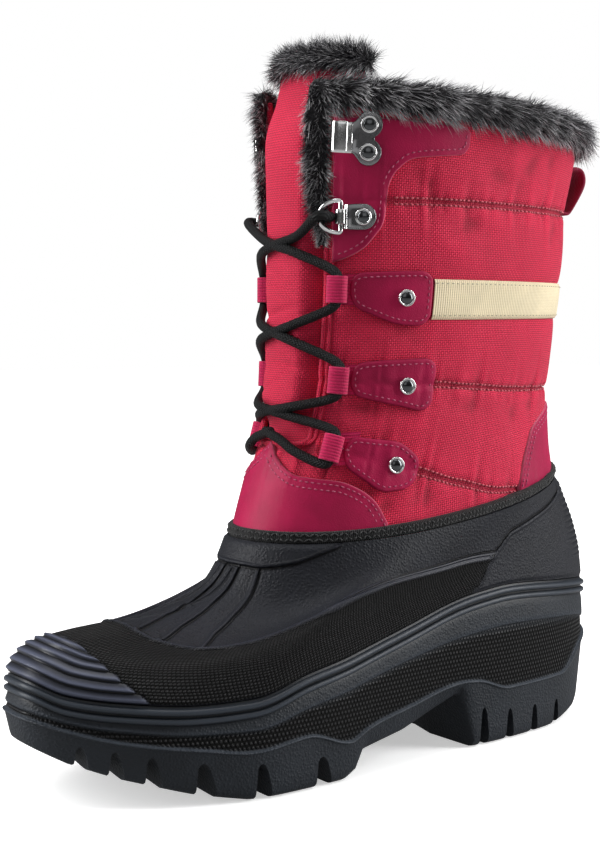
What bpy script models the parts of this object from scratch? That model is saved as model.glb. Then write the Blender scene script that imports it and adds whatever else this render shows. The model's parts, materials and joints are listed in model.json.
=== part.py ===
"""Snow boot for the left foot, toe towards -Y, outer side towards +X, in metres."""

import math
import random

import bmesh
import bpy
from mathutils import Matrix, Vector

# driving sizes
SOLE_LENGTH = 0.300
BALL_WIDTH = 0.102
SOLE_HEIGHT = 0.070
SHAFT_DEPTH = 0.146
SHAFT_WIDTH = 0.094
SHAFT_HEIGHT = 0.288
SHELL_WALL = 0.0030
SHAFT_WALL = 0.0022
OVERLAY_WALL = 0.0013
GAP = 0.0003
OVERLAY_GAP = 0.0005
QUILT_PUFF = 0.0018
PANEL_STEP = 0.0012
BEAD_RISE = 0.0018
BAND_STEP = 0.0008
RIM_WIDTH = 0.0050
FOOTBED_INSET = 0.0075
INSOLE_THICKNESS = 0.0045
INSOLE_FIT = 0.0012
TONGUE_THICKNESS = 0.0060
TONGUE_BULGE = 0.0070
TONGUE_LEAN = 0.0090
TAPE_WALL = 0.0012
RIVET_RADIUS = 0.0038
LACE_DIAMETER = 0.0042
LACE_CLEAR = 0.0012
LOOP_PLAY = 0.0009
LOOP_HEIGHT = 0.0115
LOOP_LENGTH = 0.0088
LOOP_WALL = 0.0010
RING_WIRE = 0.0022
RING_SPAN = 0.0135
RING_REACH = 0.0080
PLATE_LENGTH = 0.0150
PLATE_WIDTH = 0.0110
PLATE_WALL = 0.0010
HOOK_WIDTH = 0.0125
PULL_WIDTH = 0.0130
PULL_HEIGHT = 0.0240
PULL_REACH = 0.0062
FUR_DEPTH = 0.0098
FUR_THICKNESS = 0.0085
LOCK_LENGTH = 0.0022

RIVET_SIDES = 10
ROUND_ENDS = 0.8
SHAFT_POWER = 2.2
TOPLINE = 0.10
THROAT = 156.0
# the inner side's lacing sits this many degrees further back, as the photo's turned shaft shows
MEDIAL_TURN = 8.0

# angle, lateral, medial: half widths of the sole as shares of BALL_WIDTH, heel back 0, toe 180
SOLE_ROWS = [
    (0, 0.450, 0.450),
    (35, 0.455, 0.445),
    (57, 0.440, 0.420),
    (75, 0.420, 0.350),
    (90, 0.450, 0.372),
    (105, 0.510, 0.450),
    (117, 0.545, 0.520),
    (130, 0.535, 0.565),
    (150, 0.450, 0.575),
    (180, 0.380, 0.600),
]
# y as a share of SOLE_LENGTH, then heights as shares of SOLE_HEIGHT:
# feather line, top and foot of the knurled band, underside, groove roof, footbed
HEIGHT_ROWS = [
    (-0.500, 0.730, 0.560, 0.520, 0.330, 0.380, 0.500),
    (-0.465, 0.655, 0.510, 0.466, 0.257, 0.330, 0.460),
    (-0.410, 0.615, 0.463, 0.402, 0.171, 0.290, 0.415),
    (-0.310, 0.589, 0.425, 0.340, 0.057, 0.206, 0.340),
    (-0.240, 0.600, 0.420, 0.300, 0.000, 0.170, 0.290),
    (-0.155, 0.697, 0.500, 0.340, 0.000, 0.140, 0.275),
    (-0.077, 0.760, 0.560, 0.250, 0.000, 0.130, 0.290),
    (-0.057, 0.780, 0.580, 0.280, 0.043, 0.150, 0.300),
    (-0.047, 0.790, 0.590, 0.300, 0.150, 0.155, 0.310),
    (0.040, 0.880, 0.670, 0.380, 0.215, 0.220, 0.370),
    (0.153, 1.000, 0.750, 0.460, 0.370, 0.375, 0.500),
    (0.183, 1.020, 0.765, 0.450, 0.000, 0.270, 0.500),
    (0.250, 1.045, 0.785, 0.370, 0.000, 0.210, 0.470),
    (0.380, 1.010, 0.760, 0.370, 0.000, 0.180, 0.450),
    (0.450, 0.980, 0.720, 0.530, 0.057, 0.220, 0.460),
    (0.500, 0.945, 0.660, 0.610, 0.200, 0.260, 0.470),
]
FEATHER, KNURL_TOP, KNURL_FOOT, UNDERSIDE, GROOVE_ROOF, FOOTBED = range(1, 7)
# level, front y, front z, back y, back z, lateral, medial, sag:
# shares of SHAFT_DEPTH, SHAFT_HEIGHT, SHAFT_DEPTH, SHAFT_HEIGHT, SHAFT_WIDTH twice, SHAFT_HEIGHT
SHAFT_ROWS = [
    (0.00, -0.291, 0.316, 0.849, 0.392, 0.418, 0.392, 0.016),
    (0.10, -0.295, 0.340, 0.856, 0.420, 0.447, 0.447, 0.016),
    (0.20, -0.257, 0.410, 0.829, 0.479, 0.447, 0.447, 0.012),
    (0.30, -0.202, 0.486, 0.815, 0.542, 0.452, 0.447, 0.000),
    (0.42, -0.164, 0.573, 0.818, 0.597, 0.468, 0.457, 0.000),
    (0.63, -0.154, 0.729, 0.849, 0.729, 0.500, 0.489, 0.000),
    (0.80, -0.158, 0.847, 0.860, 0.833, 0.511, 0.500, 0.000),
    (1.00, -0.168, 1.000, 0.904, 0.965, 0.553, 0.543, 0.000),
]
# level, run, rise of the shell from the feather line to the topline, at the toe
TOE_ROWS = [
    (0.00, 0.00, 0.00),
    (0.12, 0.03, 0.11),
    (0.24, 0.10, 0.22),
    (0.38, 0.25, 0.28),
    (0.54, 0.51, 0.335),
    (0.70, 0.74, 0.435),
    (0.82, 0.88, 0.59),
    (0.91, 0.95, 0.78),
    (1.00, 1.00, 1.00),
]
# the same at the side and the heel
SIDE_ROWS = [
    (0.00, 0.00, 0.00),
    (0.25, 0.12, 0.27),
    (0.50, 0.36, 0.54),
    (0.75, 0.68, 0.78),
    (1.00, 1.00, 1.00),
]
# angle, level of the mudguard's top bead on the shell
PANEL_ROWS = [(0, 0.30), (60, 0.30), (68, 0.37), (82, 0.464), (101, 0.545), (119, 0.550), (130, 0.476),
              (140, 0.450), (156, 0.478), (180, 0.505)]
# level at the heel, at the side, at the front, and quilt puff of each row of the shaft
QUILT_ROWS = [
    (0.000, 0.000, 0.000, 0.0),
    (0.100, 0.100, 0.100, 0.0),
    (0.150, 0.228, 0.295, 0.0),
    (0.250, 0.320, 0.360, 0.0),
    (0.355, 0.410, 0.430, 0.0),
    (0.455, 0.480, 0.490, 1.0),
    (0.545, 0.545, 0.545, 0.0),
    (0.640, 0.640, 0.640, 0.0),
    (0.725, 0.725, 0.725, 1.0),
    (0.815, 0.805, 0.805, 0.0),
    (0.900, 0.900, 0.900, 1.0),
    (1.000, 1.000, 1.000, 0.0),
]
THROAT_ROW = 2
SHAFT_ANGLES = [0, 11, 22, 33, 44, 55, 67, 80, 93, 105, 115, 124, 132, 140, 148, THROAT, 168, 180]
SOLE_ANGLES = [0, 10, 20, 30, 41, 52, 62, 68.5, 72.1, 82, 95.4, 96.6, 99, 108, 118, 128, 137, 146, 155, 163,
               171, 180]
# angle, low level, high level of each overlay on the shaft, lateral side
EYESTAY_ROWS = [
    (153.0, 0.667, 0.960), (147, 0.676, 0.960), (139.3, 0.697, 0.960), (134.5, 0.725, 0.960),
    (130.6, 0.763, 0.960), (129.4, 0.830, 0.960), (125.5, 0.868, 0.960), (120.8, 0.887, 0.960),
    (110, 0.898, 0.960), (102.6, 0.906, 0.959), (100.7, 0.922, 0.948),
]
VAMP_ROWS = [
    (114.4, 0.107, 0.136), (117.1, 0.107, 0.160), (120.9, 0.107, 0.184), (128.4, 0.107, 0.210),
    (136.3, 0.107, 0.224), (147.8, 0.107, 0.231), (156.4, 0.107, 0.236), (164, 0.107, 0.248),
    (172, 0.107, 0.268), (180, 0.107, 0.298),
]
COUNTER_ROWS = [
    (0, 0.107, 0.300), (14, 0.107, 0.300), (30, 0.107, 0.296), (43, 0.107, 0.282), (55.5, 0.107, 0.257),
    (59.8, 0.107, 0.220), (63.8, 0.107, 0.155),
]
TAB_ROWS = [
    [(144.5, 0.585, 0.636), (140.7, 0.572, 0.646), (135.5, 0.562, 0.648), (121.2, 0.539, 0.652),
     (113.6, 0.537, 0.653), (111.0, 0.568, 0.634)],
    [(141.4, 0.404, 0.453), (138.2, 0.394, 0.464), (128.8, 0.380, 0.468), (118, 0.364, 0.470),
     (108.8, 0.348, 0.471), (106.6, 0.377, 0.449)],
    [(138.1, 0.270, 0.299), (135.5, 0.250, 0.306), (126, 0.222, 0.297), (116.5, 0.196, 0.286),
     (108.5, 0.197, 0.262), (106.2, 0.215, 0.250)],
]
# angle and level of each tab's rivet
RIVET_SPOTS = [(121.4, 0.595), (117.6, 0.412), (115.5, 0.244)]
# angle and level of each lace loop's middle
LOOP_SPOTS = [(149.6, 0.611), (146.5, 0.429), (143.4, 0.284)]
RING_SPOT = (148.5, 0.765)
HOOK_SPOT = (138.5, 0.920)


def curve(rows, column, x):
    """Smooth value of one column of a table, without overshoot."""
    xs = [row[0] for row in rows]
    ys = [row[column] for row in rows]
    x = min(max(x, xs[0]), xs[-1])
    steps = [xs[i + 1] - xs[i] for i in range(len(xs) - 1)]
    slopes = [(ys[i + 1] - ys[i]) / steps[i] for i in range(len(steps))]
    tangents = [slopes[0]]
    for i in range(1, len(xs) - 1):
        if slopes[i - 1] * slopes[i] <= 0:
            tangents.append(0.0)
        else:
            w1 = 2 * steps[i] + steps[i - 1]
            w2 = steps[i] + 2 * steps[i - 1]
            tangents.append((w1 + w2) / (w1 / slopes[i - 1] + w2 / slopes[i]))
    tangents.append(slopes[-1])
    i = 0
    while i < len(steps) - 1 and x > xs[i + 1]:
        i += 1
    t = (x - xs[i]) / steps[i]
    start = (2 * t**3 - 3 * t**2 + 1) * ys[i] + (t**3 - 2 * t**2 + t) * steps[i] * tangents[i]
    end = (3 * t**2 - 2 * t**3) * ys[i + 1] + (t**3 - t**2) * steps[i] * tangents[i + 1]
    return start + end


def ease(low, high, x):
    t = min(max((x - low) / (high - low), 0.0), 1.0)
    return t * t * (3 - 2 * t)


def mix(a, b, t):
    return a + (b - a) * t


def folded(angle):
    """Angle from the heel, 0 to 180, the same on both sides."""
    turn = angle % 360
    return turn if turn <= 180 else 360 - turn


def both_sides(angles):
    return angles + [360 - a for a in reversed(angles[1:-1])]


def signed_power(value, power):
    return math.copysign(abs(value) ** power, value)


def outline(angle, outward=0.0):
    """Plan point of the sole, moved outward along the plan's own normal."""

    def at(turn):
        column = 1 if turn % 360 <= 180 else 2
        width = curve(SOLE_ROWS, column, folded(turn)) * BALL_WIDTH
        side = width * signed_power(math.sin(math.radians(turn)), ROUND_ENDS)
        return Vector((side, 0.5 * SOLE_LENGTH * math.cos(math.radians(turn))))

    along = at(angle + 2.0) - at(angle - 2.0)
    away = Vector((-along.y, along.x)).normalized()
    if folded(angle) < 1 or folded(angle) > 179:
        away = Vector((0.0, math.copysign(1.0, math.cos(math.radians(angle)))))
    return at(angle) + away * outward


def height(column, y):
    """Height of one line of the sole at y; steep ends stay straight."""
    share = y / SOLE_LENGTH
    if column in (UNDERSIDE, GROOVE_ROOF):
        rows = HEIGHT_ROWS
        share = min(max(share, rows[0][0]), rows[-1][0])
        i = max(k for k in range(len(rows) - 1) if share >= rows[k][0])
        t = (share - rows[i][0]) / (rows[i + 1][0] - rows[i][0])
        return mix(rows[i][column], rows[i + 1][column], t) * SOLE_HEIGHT
    return curve(HEIGHT_ROWS, column, share) * SOLE_HEIGHT


def shaft_form(angle, level):
    fy, fz, by, bz, lateral, medial, sag = [curve(SHAFT_ROWS, i, level) for i in range(1, 8)]
    turn = math.radians(angle)
    c = signed_power(math.cos(turn), 2 / SHAFT_POWER)
    s = signed_power(math.sin(turn), 2 / SHAFT_POWER)
    front = 0.5 - 0.5 * c
    y = mix(by, fy, front) * SHAFT_DEPTH
    z = (mix(bz, fz, front) - sag * math.sin(turn) ** 2) * SHAFT_HEIGHT
    return Vector((s * (lateral if s > 0 else medial) * SHAFT_WIDTH, y, z))


def shell_form(angle, level):
    foot = outline(angle)
    foot_z = height(FEATHER, foot.y) + GAP
    top = pushed(shaft_form, angle, TOPLINE, SHELL_WALL + GAP)
    near = ease(95, 145, folded(angle))
    run = mix(curve(SIDE_ROWS, 1, level), curve(TOE_ROWS, 1, level), near)
    rise = mix(curve(SIDE_ROWS, 2, level), curve(TOE_ROWS, 2, level), near)
    return Vector((mix(foot.x, top.x, run), mix(foot.y, top.y, run), mix(foot_z, top.z, rise)))


def normal(form, angle, level):
    along = form(angle + 1.5, level) - form(angle - 1.5, level)
    up = form(angle, min(level + 0.02, 1.0)) - form(angle, max(level - 0.02, 0.0))
    return up.cross(along).normalized()


def pushed(form, angle, level, distance):
    return form(angle, level) + normal(form, angle, level) * distance


def quilt_level(row, angle):
    back, side, front, puff = QUILT_ROWS[row]
    level = mix(back, side, ease(45, 103, folded(angle)))
    return mix(level, front, ease(THROAT, 181, folded(angle)))


def quilt_point(row, angle, lift):
    """Point of the shaft's own grid, lifted off its surface."""
    puff = QUILT_ROWS[row][3] * QUILT_PUFF * (1 - 0.9 * ease(98, 116, folded(angle)))
    return pushed(shaft_form, angle, quilt_level(row, angle), lift + puff)


def cloth(angle, level, lift):
    """Point over the quilted shaft, straight between the shaft's own rows and columns."""
    turn = angle % 360
    angles = both_sides(SHAFT_ANGLES) + [360]
    i = max(k for k in range(len(angles) - 1) if turn >= angles[k])
    across = (turn - angles[i]) / (angles[i + 1] - angles[i])
    ends = []
    for a in (angles[i], angles[i + 1]):
        row = max(k for k in range(len(QUILT_ROWS) - 1) if level >= quilt_level(k, a) or k == 0)
        low = quilt_level(row, a)
        high = quilt_level(row + 1, a)
        t = min((level - low) / (high - low), 1.0)
        ends.append(quilt_point(row, a, lift).lerp(quilt_point(row + 1, a, lift), t))
    return ends[0].lerp(ends[1], across)


def seat(angle, level, lift, side):
    """Axes at a place on the shaft: towards the throat, up, and away from the surface."""
    turn = angle if side > 0 else 360 - angle + MEDIAL_TURN
    away = normal(shaft_form, turn, level)
    up = (shaft_form(turn, min(level + 0.02, 1.0)) - shaft_form(turn, level - 0.02)).normalized()
    front = up.cross(away).normalized() * -side
    up = away.cross(front).normalized()
    up = up if up.z > 0 else -up
    place = cloth(turn, level, lift)
    return place, front, up, away


def finish(name, colour, roughness, metallic=0.0):
    material = bpy.data.materials.get(name) or bpy.data.materials.new(name)
    material.use_nodes = True
    shader = material.node_tree.nodes["Principled BSDF"]
    shader.inputs["Base Color"].default_value = (*colour, 1.0)
    shader.inputs["Roughness"].default_value = roughness
    shader.inputs["Metallic"].default_value = metallic
    material.diffuse_color = (*colour, 1.0)
    return material


def rubber():
    return finish("shell_rubber", (0.035, 0.046, 0.058), 0.6)


def sole_rubber():
    return finish("sole_rubber", (0.028, 0.036, 0.046), 0.62)


def nylon():
    return finish("red_nylon", (0.50, 0.020, 0.060), 0.62)


def leather():
    return finish("magenta_leather", (0.24, 0.010, 0.055), 0.48)


def webbing():
    return finish("magenta_webbing", (0.30, 0.015, 0.070), 0.7)


def fur():
    return finish("grey_fur", (0.060, 0.062, 0.070), 0.95)


def chrome():
    return finish("bright_metal", (0.62, 0.62, 0.62), 0.22, 1.0)


def cord():
    return finish("black_cord", (0.012, 0.013, 0.016), 0.75)


def tape():
    return finish("black_tape", (0.020, 0.021, 0.025), 0.8)


def felt():
    return finish("grey_felt", (0.10, 0.10, 0.11), 0.95)


def beige():
    return finish("beige_webbing", (0.70, 0.60, 0.38), 0.8)


def add(name, points, faces, material):
    """One closed solid, its faces turned outward and its loose points removed."""
    mesh = bpy.data.meshes.new(name)
    mesh.from_pydata([tuple(p) for p in points], [], faces)
    work = bmesh.new()
    work.from_mesh(mesh)
    bmesh.ops.delete(work, geom=[v for v in work.verts if not v.link_faces], context="VERTS")
    bmesh.ops.recalc_face_normals(work, faces=work.faces)
    work.to_mesh(mesh)
    work.free()
    mesh.materials.append(material)
    item = bpy.data.objects.new(name, mesh)
    bpy.context.scene.collection.objects.link(item)
    return item


def combine(item, others, operation):
    """Boolean of one object with others, applied, the others removed."""
    for other in others:
        modifier = item.modifiers.new(operation, "BOOLEAN")
        modifier.operation = operation
        modifier.solver = "EXACT"
        modifier.object = other
    graph = bpy.context.evaluated_depsgraph_get()
    mesh = bpy.data.meshes.new_from_object(item.evaluated_get(graph))
    mesh.materials.clear()
    mesh.materials.append(item.data.materials[0])
    item.modifiers.clear()
    item.data = mesh
    for other in others:
        bpy.data.objects.remove(other)
    work = bmesh.new()
    work.from_mesh(mesh)
    bmesh.ops.remove_doubles(work, verts=work.verts, dist=0.00001)
    bmesh.ops.dissolve_degenerate(work, edges=work.edges, dist=0.00001)
    bmesh.ops.triangulate(work, faces=[f for f in work.faces if len(f.verts) > 4])
    work.to_mesh(mesh)
    work.free()
    return item


def ring_solid(name, rings, material, closed=False):
    """Rings of equal count joined into one skin, its ends capped in strips unless closed."""
    count = len(rings[0])
    points = [p for ring in rings for p in ring]
    faces = []
    last = len(rings) if closed else len(rings) - 1
    for r in range(last):
        r2 = (r + 1) % len(rings)
        for k in range(count):
            k2 = (k + 1) % count
            faces.append((r * count + k, r * count + k2, r2 * count + k2, r2 * count + k))
    if not closed:
        for r in (0, len(rings) - 1):
            base = r * count
            half = count // 2
            faces.append((base, base + 1, base + count - 1))
            for k in range(1, half - 1):
                faces.append((base + k, base + k + 1, base + count - k - 1, base + count - k))
            faces.append((base + half - 1, base + half, base + half + 1))
    return add(name, points, faces, material)


def slab(name, columns, rows, place, material, closed=False, keep=None):
    """Two grids a wall apart, place(column, row, inner), with walls round every kept cell."""
    points = [place(i, j, inner) for inner in (False, True) for i in range(columns) for j in range(rows)]

    def kept(i, j):
        if closed:
            i %= columns
        inside = 0 <= j < rows - 1 and 0 <= i < (columns if closed else columns - 1)
        return inside and (keep is None or keep(i, j))

    def index(i, j, inner):
        return (columns * rows if inner else 0) + (i % columns) * rows + j

    faces = []
    for i in range(columns if closed else columns - 1):
        for j in range(rows - 1):
            if not kept(i, j):
                continue
            corners = ((i, j), (i + 1, j), (i + 1, j + 1), (i, j + 1))
            faces.append([index(*c, False) for c in corners])
            faces.append([index(*c, True) for c in reversed(corners)])
            beside = ((i, j - 1), (i + 1, j), (i, j + 1), (i - 1, j))
            for k in range(4):
                if not kept(*beside[k]):
                    a = corners[k]
                    b = corners[(k + 1) % 4]
                    faces.append([index(*b, False), index(*a, False), index(*a, True), index(*b, True)])
    return add(name, points, faces, material)


def patch(name, table, steps, inner, outer, material):
    """An overlay on the shaft, a column for each row of its table of angle, low and high level."""

    columns = [table[0]]
    own = both_sides(SHAFT_ANGLES)
    for a, b in zip(table, table[1:]):
        turn = 360 * round((columns[-1][0] - b[0]) / 360)
        a = columns[-1]
        b = (b[0] + turn, *b[1:])
        left, right = sorted((a[0], b[0]))
        between = [k + turn for turn in (-360, 0, 360) for k in own if left + 1.5 < k + turn < right - 1.5]
        for k in sorted(between, reverse=a[0] > b[0]):
            t = (k - a[0]) / (b[0] - a[0])
            columns.append((k, mix(a[1], b[1], t), mix(a[2], b[2], t)))
        columns.append(b)

    def place(i, j, inside):
        angle, low, high = columns[i]
        return cloth(angle, mix(low, high, j / steps), inner if inside else outer)

    return slab(name, len(columns), steps + 1, place, material)


def mirrored(table, turn=0.0):
    return [(360 - row[0] + turn, *row[1:]) for row in table]


def tube(name, path, radius, sides, material):
    """A capped round tube along points, without twist."""
    rings = []
    away = None
    for k in range(len(path)):
        ahead = (path[min(k + 1, len(path) - 1)] - path[max(k - 1, 0)]).normalized()
        if away is None:
            away = ahead.orthogonal().normalized()
        away = (away - ahead * away.dot(ahead)).normalized()
        across = ahead.cross(away)
        ring = []
        for s in range(sides):
            turn = 2 * math.pi * s / sides
            ring.append(path[k] + (away * math.cos(turn) + across * math.sin(turn)) * radius)
        rings.append(ring)
    return ring_solid(name, rings, material)


def smooth_path(stops, spacing):
    """Points along a Catmull-Rom curve through hand-chosen stops."""
    ends = [stops[0] * 2 - stops[1]] + stops + [stops[-1] * 2 - stops[-2]]
    path = []
    for k in range(1, len(ends) - 2):
        a, b, c, d = ends[k - 1:k + 3]
        count = max(1, round((c - b).length / spacing))
        for s in range(count):
            t = s / count
            path.append(0.5 * (2 * b + (c - a) * t + (2 * a - 5 * b + 4 * c - d) * t * t
                               + (3 * b - a - 3 * c + d) * t**3))
    path.append(stops[-1])
    return path


def extruded(name, profile, frame, width, material, hole=None):
    """A profile in the plane of front and away, drawn along up, with an optional hole of equal count."""
    place, front, up, away = frame

    def point(spot, lift):
        return place + front * spot[0] + away * spot[1] + up * lift

    low = [point(spot, -width / 2) for spot in profile]
    high = [point(spot, width / 2) for spot in profile]
    if hole is None:
        count = len(profile)
        faces = [list(range(count)), list(range(2 * count - 1, count - 1, -1))]
        for k in range(count):
            k2 = (k + 1) % count
            faces.append([k, k + count, k2 + count, k2])
        return add(name, low + high, faces, material)
    inside_high = [point(spot, width / 2) for spot in hole]
    inside_low = [point(spot, -width / 2) for spot in hole]
    return ring_solid(name, [low, high, inside_high, inside_low], material, closed=True)


def oval(centre, reach, rise, count, power=2.0):
    spots = []
    for k in range(count):
        turn = 2 * math.pi * (k + 0.5) / count
        spots.append((centre[0] + reach * signed_power(math.cos(turn), 2 / power),
                      centre[1] + rise * signed_power(math.sin(turn), 2 / power)))
    return spots


def make_outsole():
    angles = both_sides(SOLE_ANGLES)

    def ring(outward, level):
        points = []
        for a in angles:
            y = outline(a).y
            plan = outline(a, outward)
            points.append(Vector((plan.x, plan.y, level(y))))
        return points

    rings = [
        ring(-0.0045, lambda y: height(UNDERSIDE, y)),
        ring(-0.0005, lambda y: height(UNDERSIDE, y) + 0.0030),
        ring(0.0022, lambda y: height(KNURL_FOOT, y) - 0.0020),
        ring(0.0020, lambda y: height(KNURL_FOOT, y)),
        ring(0.0008, lambda y: height(KNURL_FOOT, y) + 0.0008),
        ring(0.0005, lambda y: height(KNURL_TOP, y) - 0.0008),
        ring(0.0014, lambda y: height(KNURL_TOP, y)),
        ring(0.0008, lambda y: height(FEATHER, y) - 0.0085),
        ring(BEAD_RISE, lambda y: height(FEATHER, y) - 0.0068),
        ring(0.0004, lambda y: height(FEATHER, y) - 0.0047),
        ring(BEAD_RISE, lambda y: height(FEATHER, y) - 0.0026),
        ring(0.0, lambda y: height(FEATHER, y)),
        ring(-RIM_WIDTH, lambda y: height(FEATHER, y)),
        ring(-FOOTBED_INSET, lambda y: height(FOOTBED, y)),
    ]
    sole = ring_solid("outsole", rings, sole_rubber())
    # y as a share of SOLE_LENGTH, and length of each side groove of the tread
    grooves = [(-0.445, 0.0045), (-0.407, 0.0050), (-0.365, 0.0055), (-0.300, 0.0085), (-0.220, 0.0065),
               (-0.118, 0.0080), (0.205, 0.0050), (0.262, 0.0050), (0.322, 0.0050), (0.382, 0.0050)]
    blocks = []
    for share, long in grooves:
        y = share * SOLE_LENGTH
        roof = height(GROOVE_ROOF, y)
        angle = math.degrees(math.acos(2 * share))
        for side in (1, -1):
            edge = outline(angle * side).x
            blocks.append((edge * 0.45, edge * 1.25, y - long / 2, y + long / 2, roof))
    # y share and length of each short bar gap in the middle of the tread
    for share, long in ((-0.335, 0.006), (-0.260, 0.006), (-0.170, 0.006), (0.235, 0.006), (0.350, 0.006)):
        y = share * SOLE_LENGTH
        span = 0.17 * BALL_WIDTH
        blocks.append((-span, span, y - long / 2, y + long / 2, height(UNDERSIDE, y) + 0.005))
    back = 0.44 * SOLE_LENGTH
    for x in (0.16 * BALL_WIDTH, -0.16 * BALL_WIDTH):
        blocks.append((x - 0.0025, x + 0.0025, back, back * 1.3, height(GROOVE_ROOF, back)))
    points = []
    faces = []
    for x0, x1, y0, y1, roof in blocks:
        base = len(points)
        for z in (-0.02, roof):
            for x, y in ((x0, y0), (x1, y0), (x1, y1), (x0, y1)):
                points.append(Vector((x, y, z)))
        faces += [[base + k for k in f] for f in ((0, 3, 2, 1), (4, 5, 6, 7), (0, 1, 5, 4), (1, 2, 6, 5),
                                                  (2, 3, 7, 6), (3, 0, 4, 7))]
    cutter = add("tread_cutter", points, faces, sole_rubber())
    return combine(sole, [cutter], "DIFFERENCE")


def make_insole():
    angles = both_sides(SOLE_ANGLES)

    def ring(lift):
        points = []
        for a in angles:
            plan = outline(a, -FOOTBED_INSET - INSOLE_FIT)
            points.append(Vector((plan.x, plan.y, height(FOOTBED, outline(a).y) + lift)))
        return points

    return ring_solid("insole", [ring(OVERLAY_GAP), ring(OVERLAY_GAP + INSOLE_THICKNESS)], felt())


def make_shell():
    angles = both_sides(SOLE_ANGLES)

    def ring(share, above, lift, panel_lift):
        """A ring at a share of the way up to the panel's bead, or of the way from it to the band."""
        points = []
        for a in angles:
            bead = curve(PANEL_ROWS, 1, folded(a))
            panel = PANEL_STEP * ease(60, 70, folded(a)) * panel_lift
            level = mix(bead, 0.905, share) if above else bead * share
            points.append(pushed(shell_form, a, level, lift + panel))
        return points

    def band(level, lift):
        return [pushed(shell_form, a, level, lift) for a in angles]

    def foot(outward):
        points = []
        for a in angles:
            plan = outline(a, outward)
            points.append(Vector((plan.x, plan.y, height(FEATHER, outline(a).y) + GAP)))
        return points

    rings = [foot(0.0), ring(0.06, False, 0.0, 1.0), ring(0.35, False, 0.0, 1.0), ring(0.70, False, 0.0, 1.0),
             ring(0.94, False, 0.0, 1.0), ring(0.985, False, 0.0, 2.0), ring(0.04, True, 0.0, 0.0),
             ring(0.30, True, 0.0, 0.0), ring(0.60, True, 0.0, 0.0), ring(1.0, True, 0.0, 0.0),
             band(0.925, BAND_STEP), band(1.0, 0.0)]
    rings += [band(1.0, -SHELL_WALL + GAP), band(0.84, -SHELL_WALL), band(0.54, -SHELL_WALL),
              band(0.26, -SHELL_WALL), foot(-SHELL_WALL)]
    return ring_solid("shell", rings, rubber(), closed=True)


def make_shaft():
    angles = both_sides(SHAFT_ANGLES)
    edge = SHAFT_ANGLES.index(THROAT)
    far_edge = len(angles) - edge

    def place(i, j, inside):
        return quilt_point(j, angles[i], -SHAFT_WALL if inside else 0.0)

    def keep(i, j):
        return j < THROAT_ROW or not edge <= i < far_edge

    return slab("shaft", len(angles), len(QUILT_ROWS), place, nylon(), closed=True, keep=keep)


def tongue_point(angle, level, lift):
    """Point of the tongue: behind the wall at its edges, full in the throat, leaning back at its top."""
    bulge = TONGUE_BULGE * ease(THROAT, THROAT + 13, folded(angle)) * ease(0.305, 0.39, level)
    lean = TONGUE_LEAN * ease(0.90, 1.08, level)
    place = pushed(shaft_form, angle, min(level, 1.0), bulge - SHAFT_WALL - 0.0012 + lift)
    rise = (shaft_form(angle, 1.0) - shaft_form(angle, 0.9)) * 10 * max(level - 1.0, 0.0)
    return place + rise + Vector((0.0, lean, 0.0))


def make_tongue():
    angles = [134, 145, 152, 158, 163, 169, 180, 191, 197, 202, 208, 215, 226]
    levels = [0.16, 0.305, 0.36, 0.46, 0.60, 0.74, 0.88, 0.97, 1.055]

    def place(i, j, inside):
        edge = min(i, len(angles) - 1 - i)
        thick = TONGUE_THICKNESS * (0.45 + 0.55 * ease(0, 2, edge))
        return tongue_point(angles[i], levels[j], -thick if inside else 0.0)

    return slab("tongue", len(angles), len(levels), place, nylon())


def make_overlays():
    outer = OVERLAY_GAP + OVERLAY_WALL
    vamp = VAMP_ROWS + mirrored(list(reversed(VAMP_ROWS[:-1])))
    patch("vamp_overlay", vamp, 2, OVERLAY_GAP, outer, leather())
    counter = mirrored(list(reversed(COUNTER_ROWS)))[:-1] + COUNTER_ROWS
    patch("heel_counter", counter, 3, OVERLAY_GAP, outer, leather())
    patch("eyestay_lateral", EYESTAY_ROWS, 2, OVERLAY_GAP, outer, leather())
    patch("eyestay_medial", mirrored(EYESTAY_ROWS, MEDIAL_TURN), 2, OVERLAY_GAP, outer, leather())
    strip = [110.3] + [a for a in reversed(SHAFT_ANGLES) if a < 110]
    inner_end = 360 - strip[0] + MEDIAL_TURN
    around = strip + [360 - a for a in reversed(strip[1:-1])] + [inner_end]
    around = [(a, 0.550, 0.635) for a in around]
    patch("side_strip", around, 1, OVERLAY_GAP, OVERLAY_GAP + 0.0009, beige())


def make_tape():
    angles = both_sides(SHAFT_ANGLES)
    inner = OVERLAY_GAP + OVERLAY_WALL + OVERLAY_GAP

    def place(i, j, inside):
        level = (0.1035, 0.131)[j]
        return cloth(angles[i], level, inner if inside else inner + TAPE_WALL)

    return slab("binding_tape", len(angles), 2, place, tape(), closed=True)


def make_tabs(side, word):
    for k, table in enumerate(TAB_ROWS):
        rows = table if side > 0 else mirrored(table, MEDIAL_TURN)
        outer = OVERLAY_GAP + 0.0020
        patch(f"tab_{word}_{k + 1}", rows, 2, OVERLAY_GAP, outer, leather())
        frame = seat(*RIVET_SPOTS[k], outer + OVERLAY_GAP, side)
        make_rivet(f"rivet_{word}_{k + 1}", frame, RIVET_RADIUS)
        spot = seat(*LOOP_SPOTS[k], OVERLAY_GAP + GAP, side)
        reach = LOOP_LENGTH / 2
        rise = LACE_DIAMETER / 2 + LOOP_WALL + LOOP_PLAY
        outside = oval((0, rise), reach, rise, 10, 2.8)
        inside = oval((0, rise), reach - LOOP_WALL, rise - LOOP_WALL, 10, 2.8)
        extruded(f"webbing_loop_{word}_{k + 1}", outside, spot, LOOP_HEIGHT, webbing(), inside)


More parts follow.
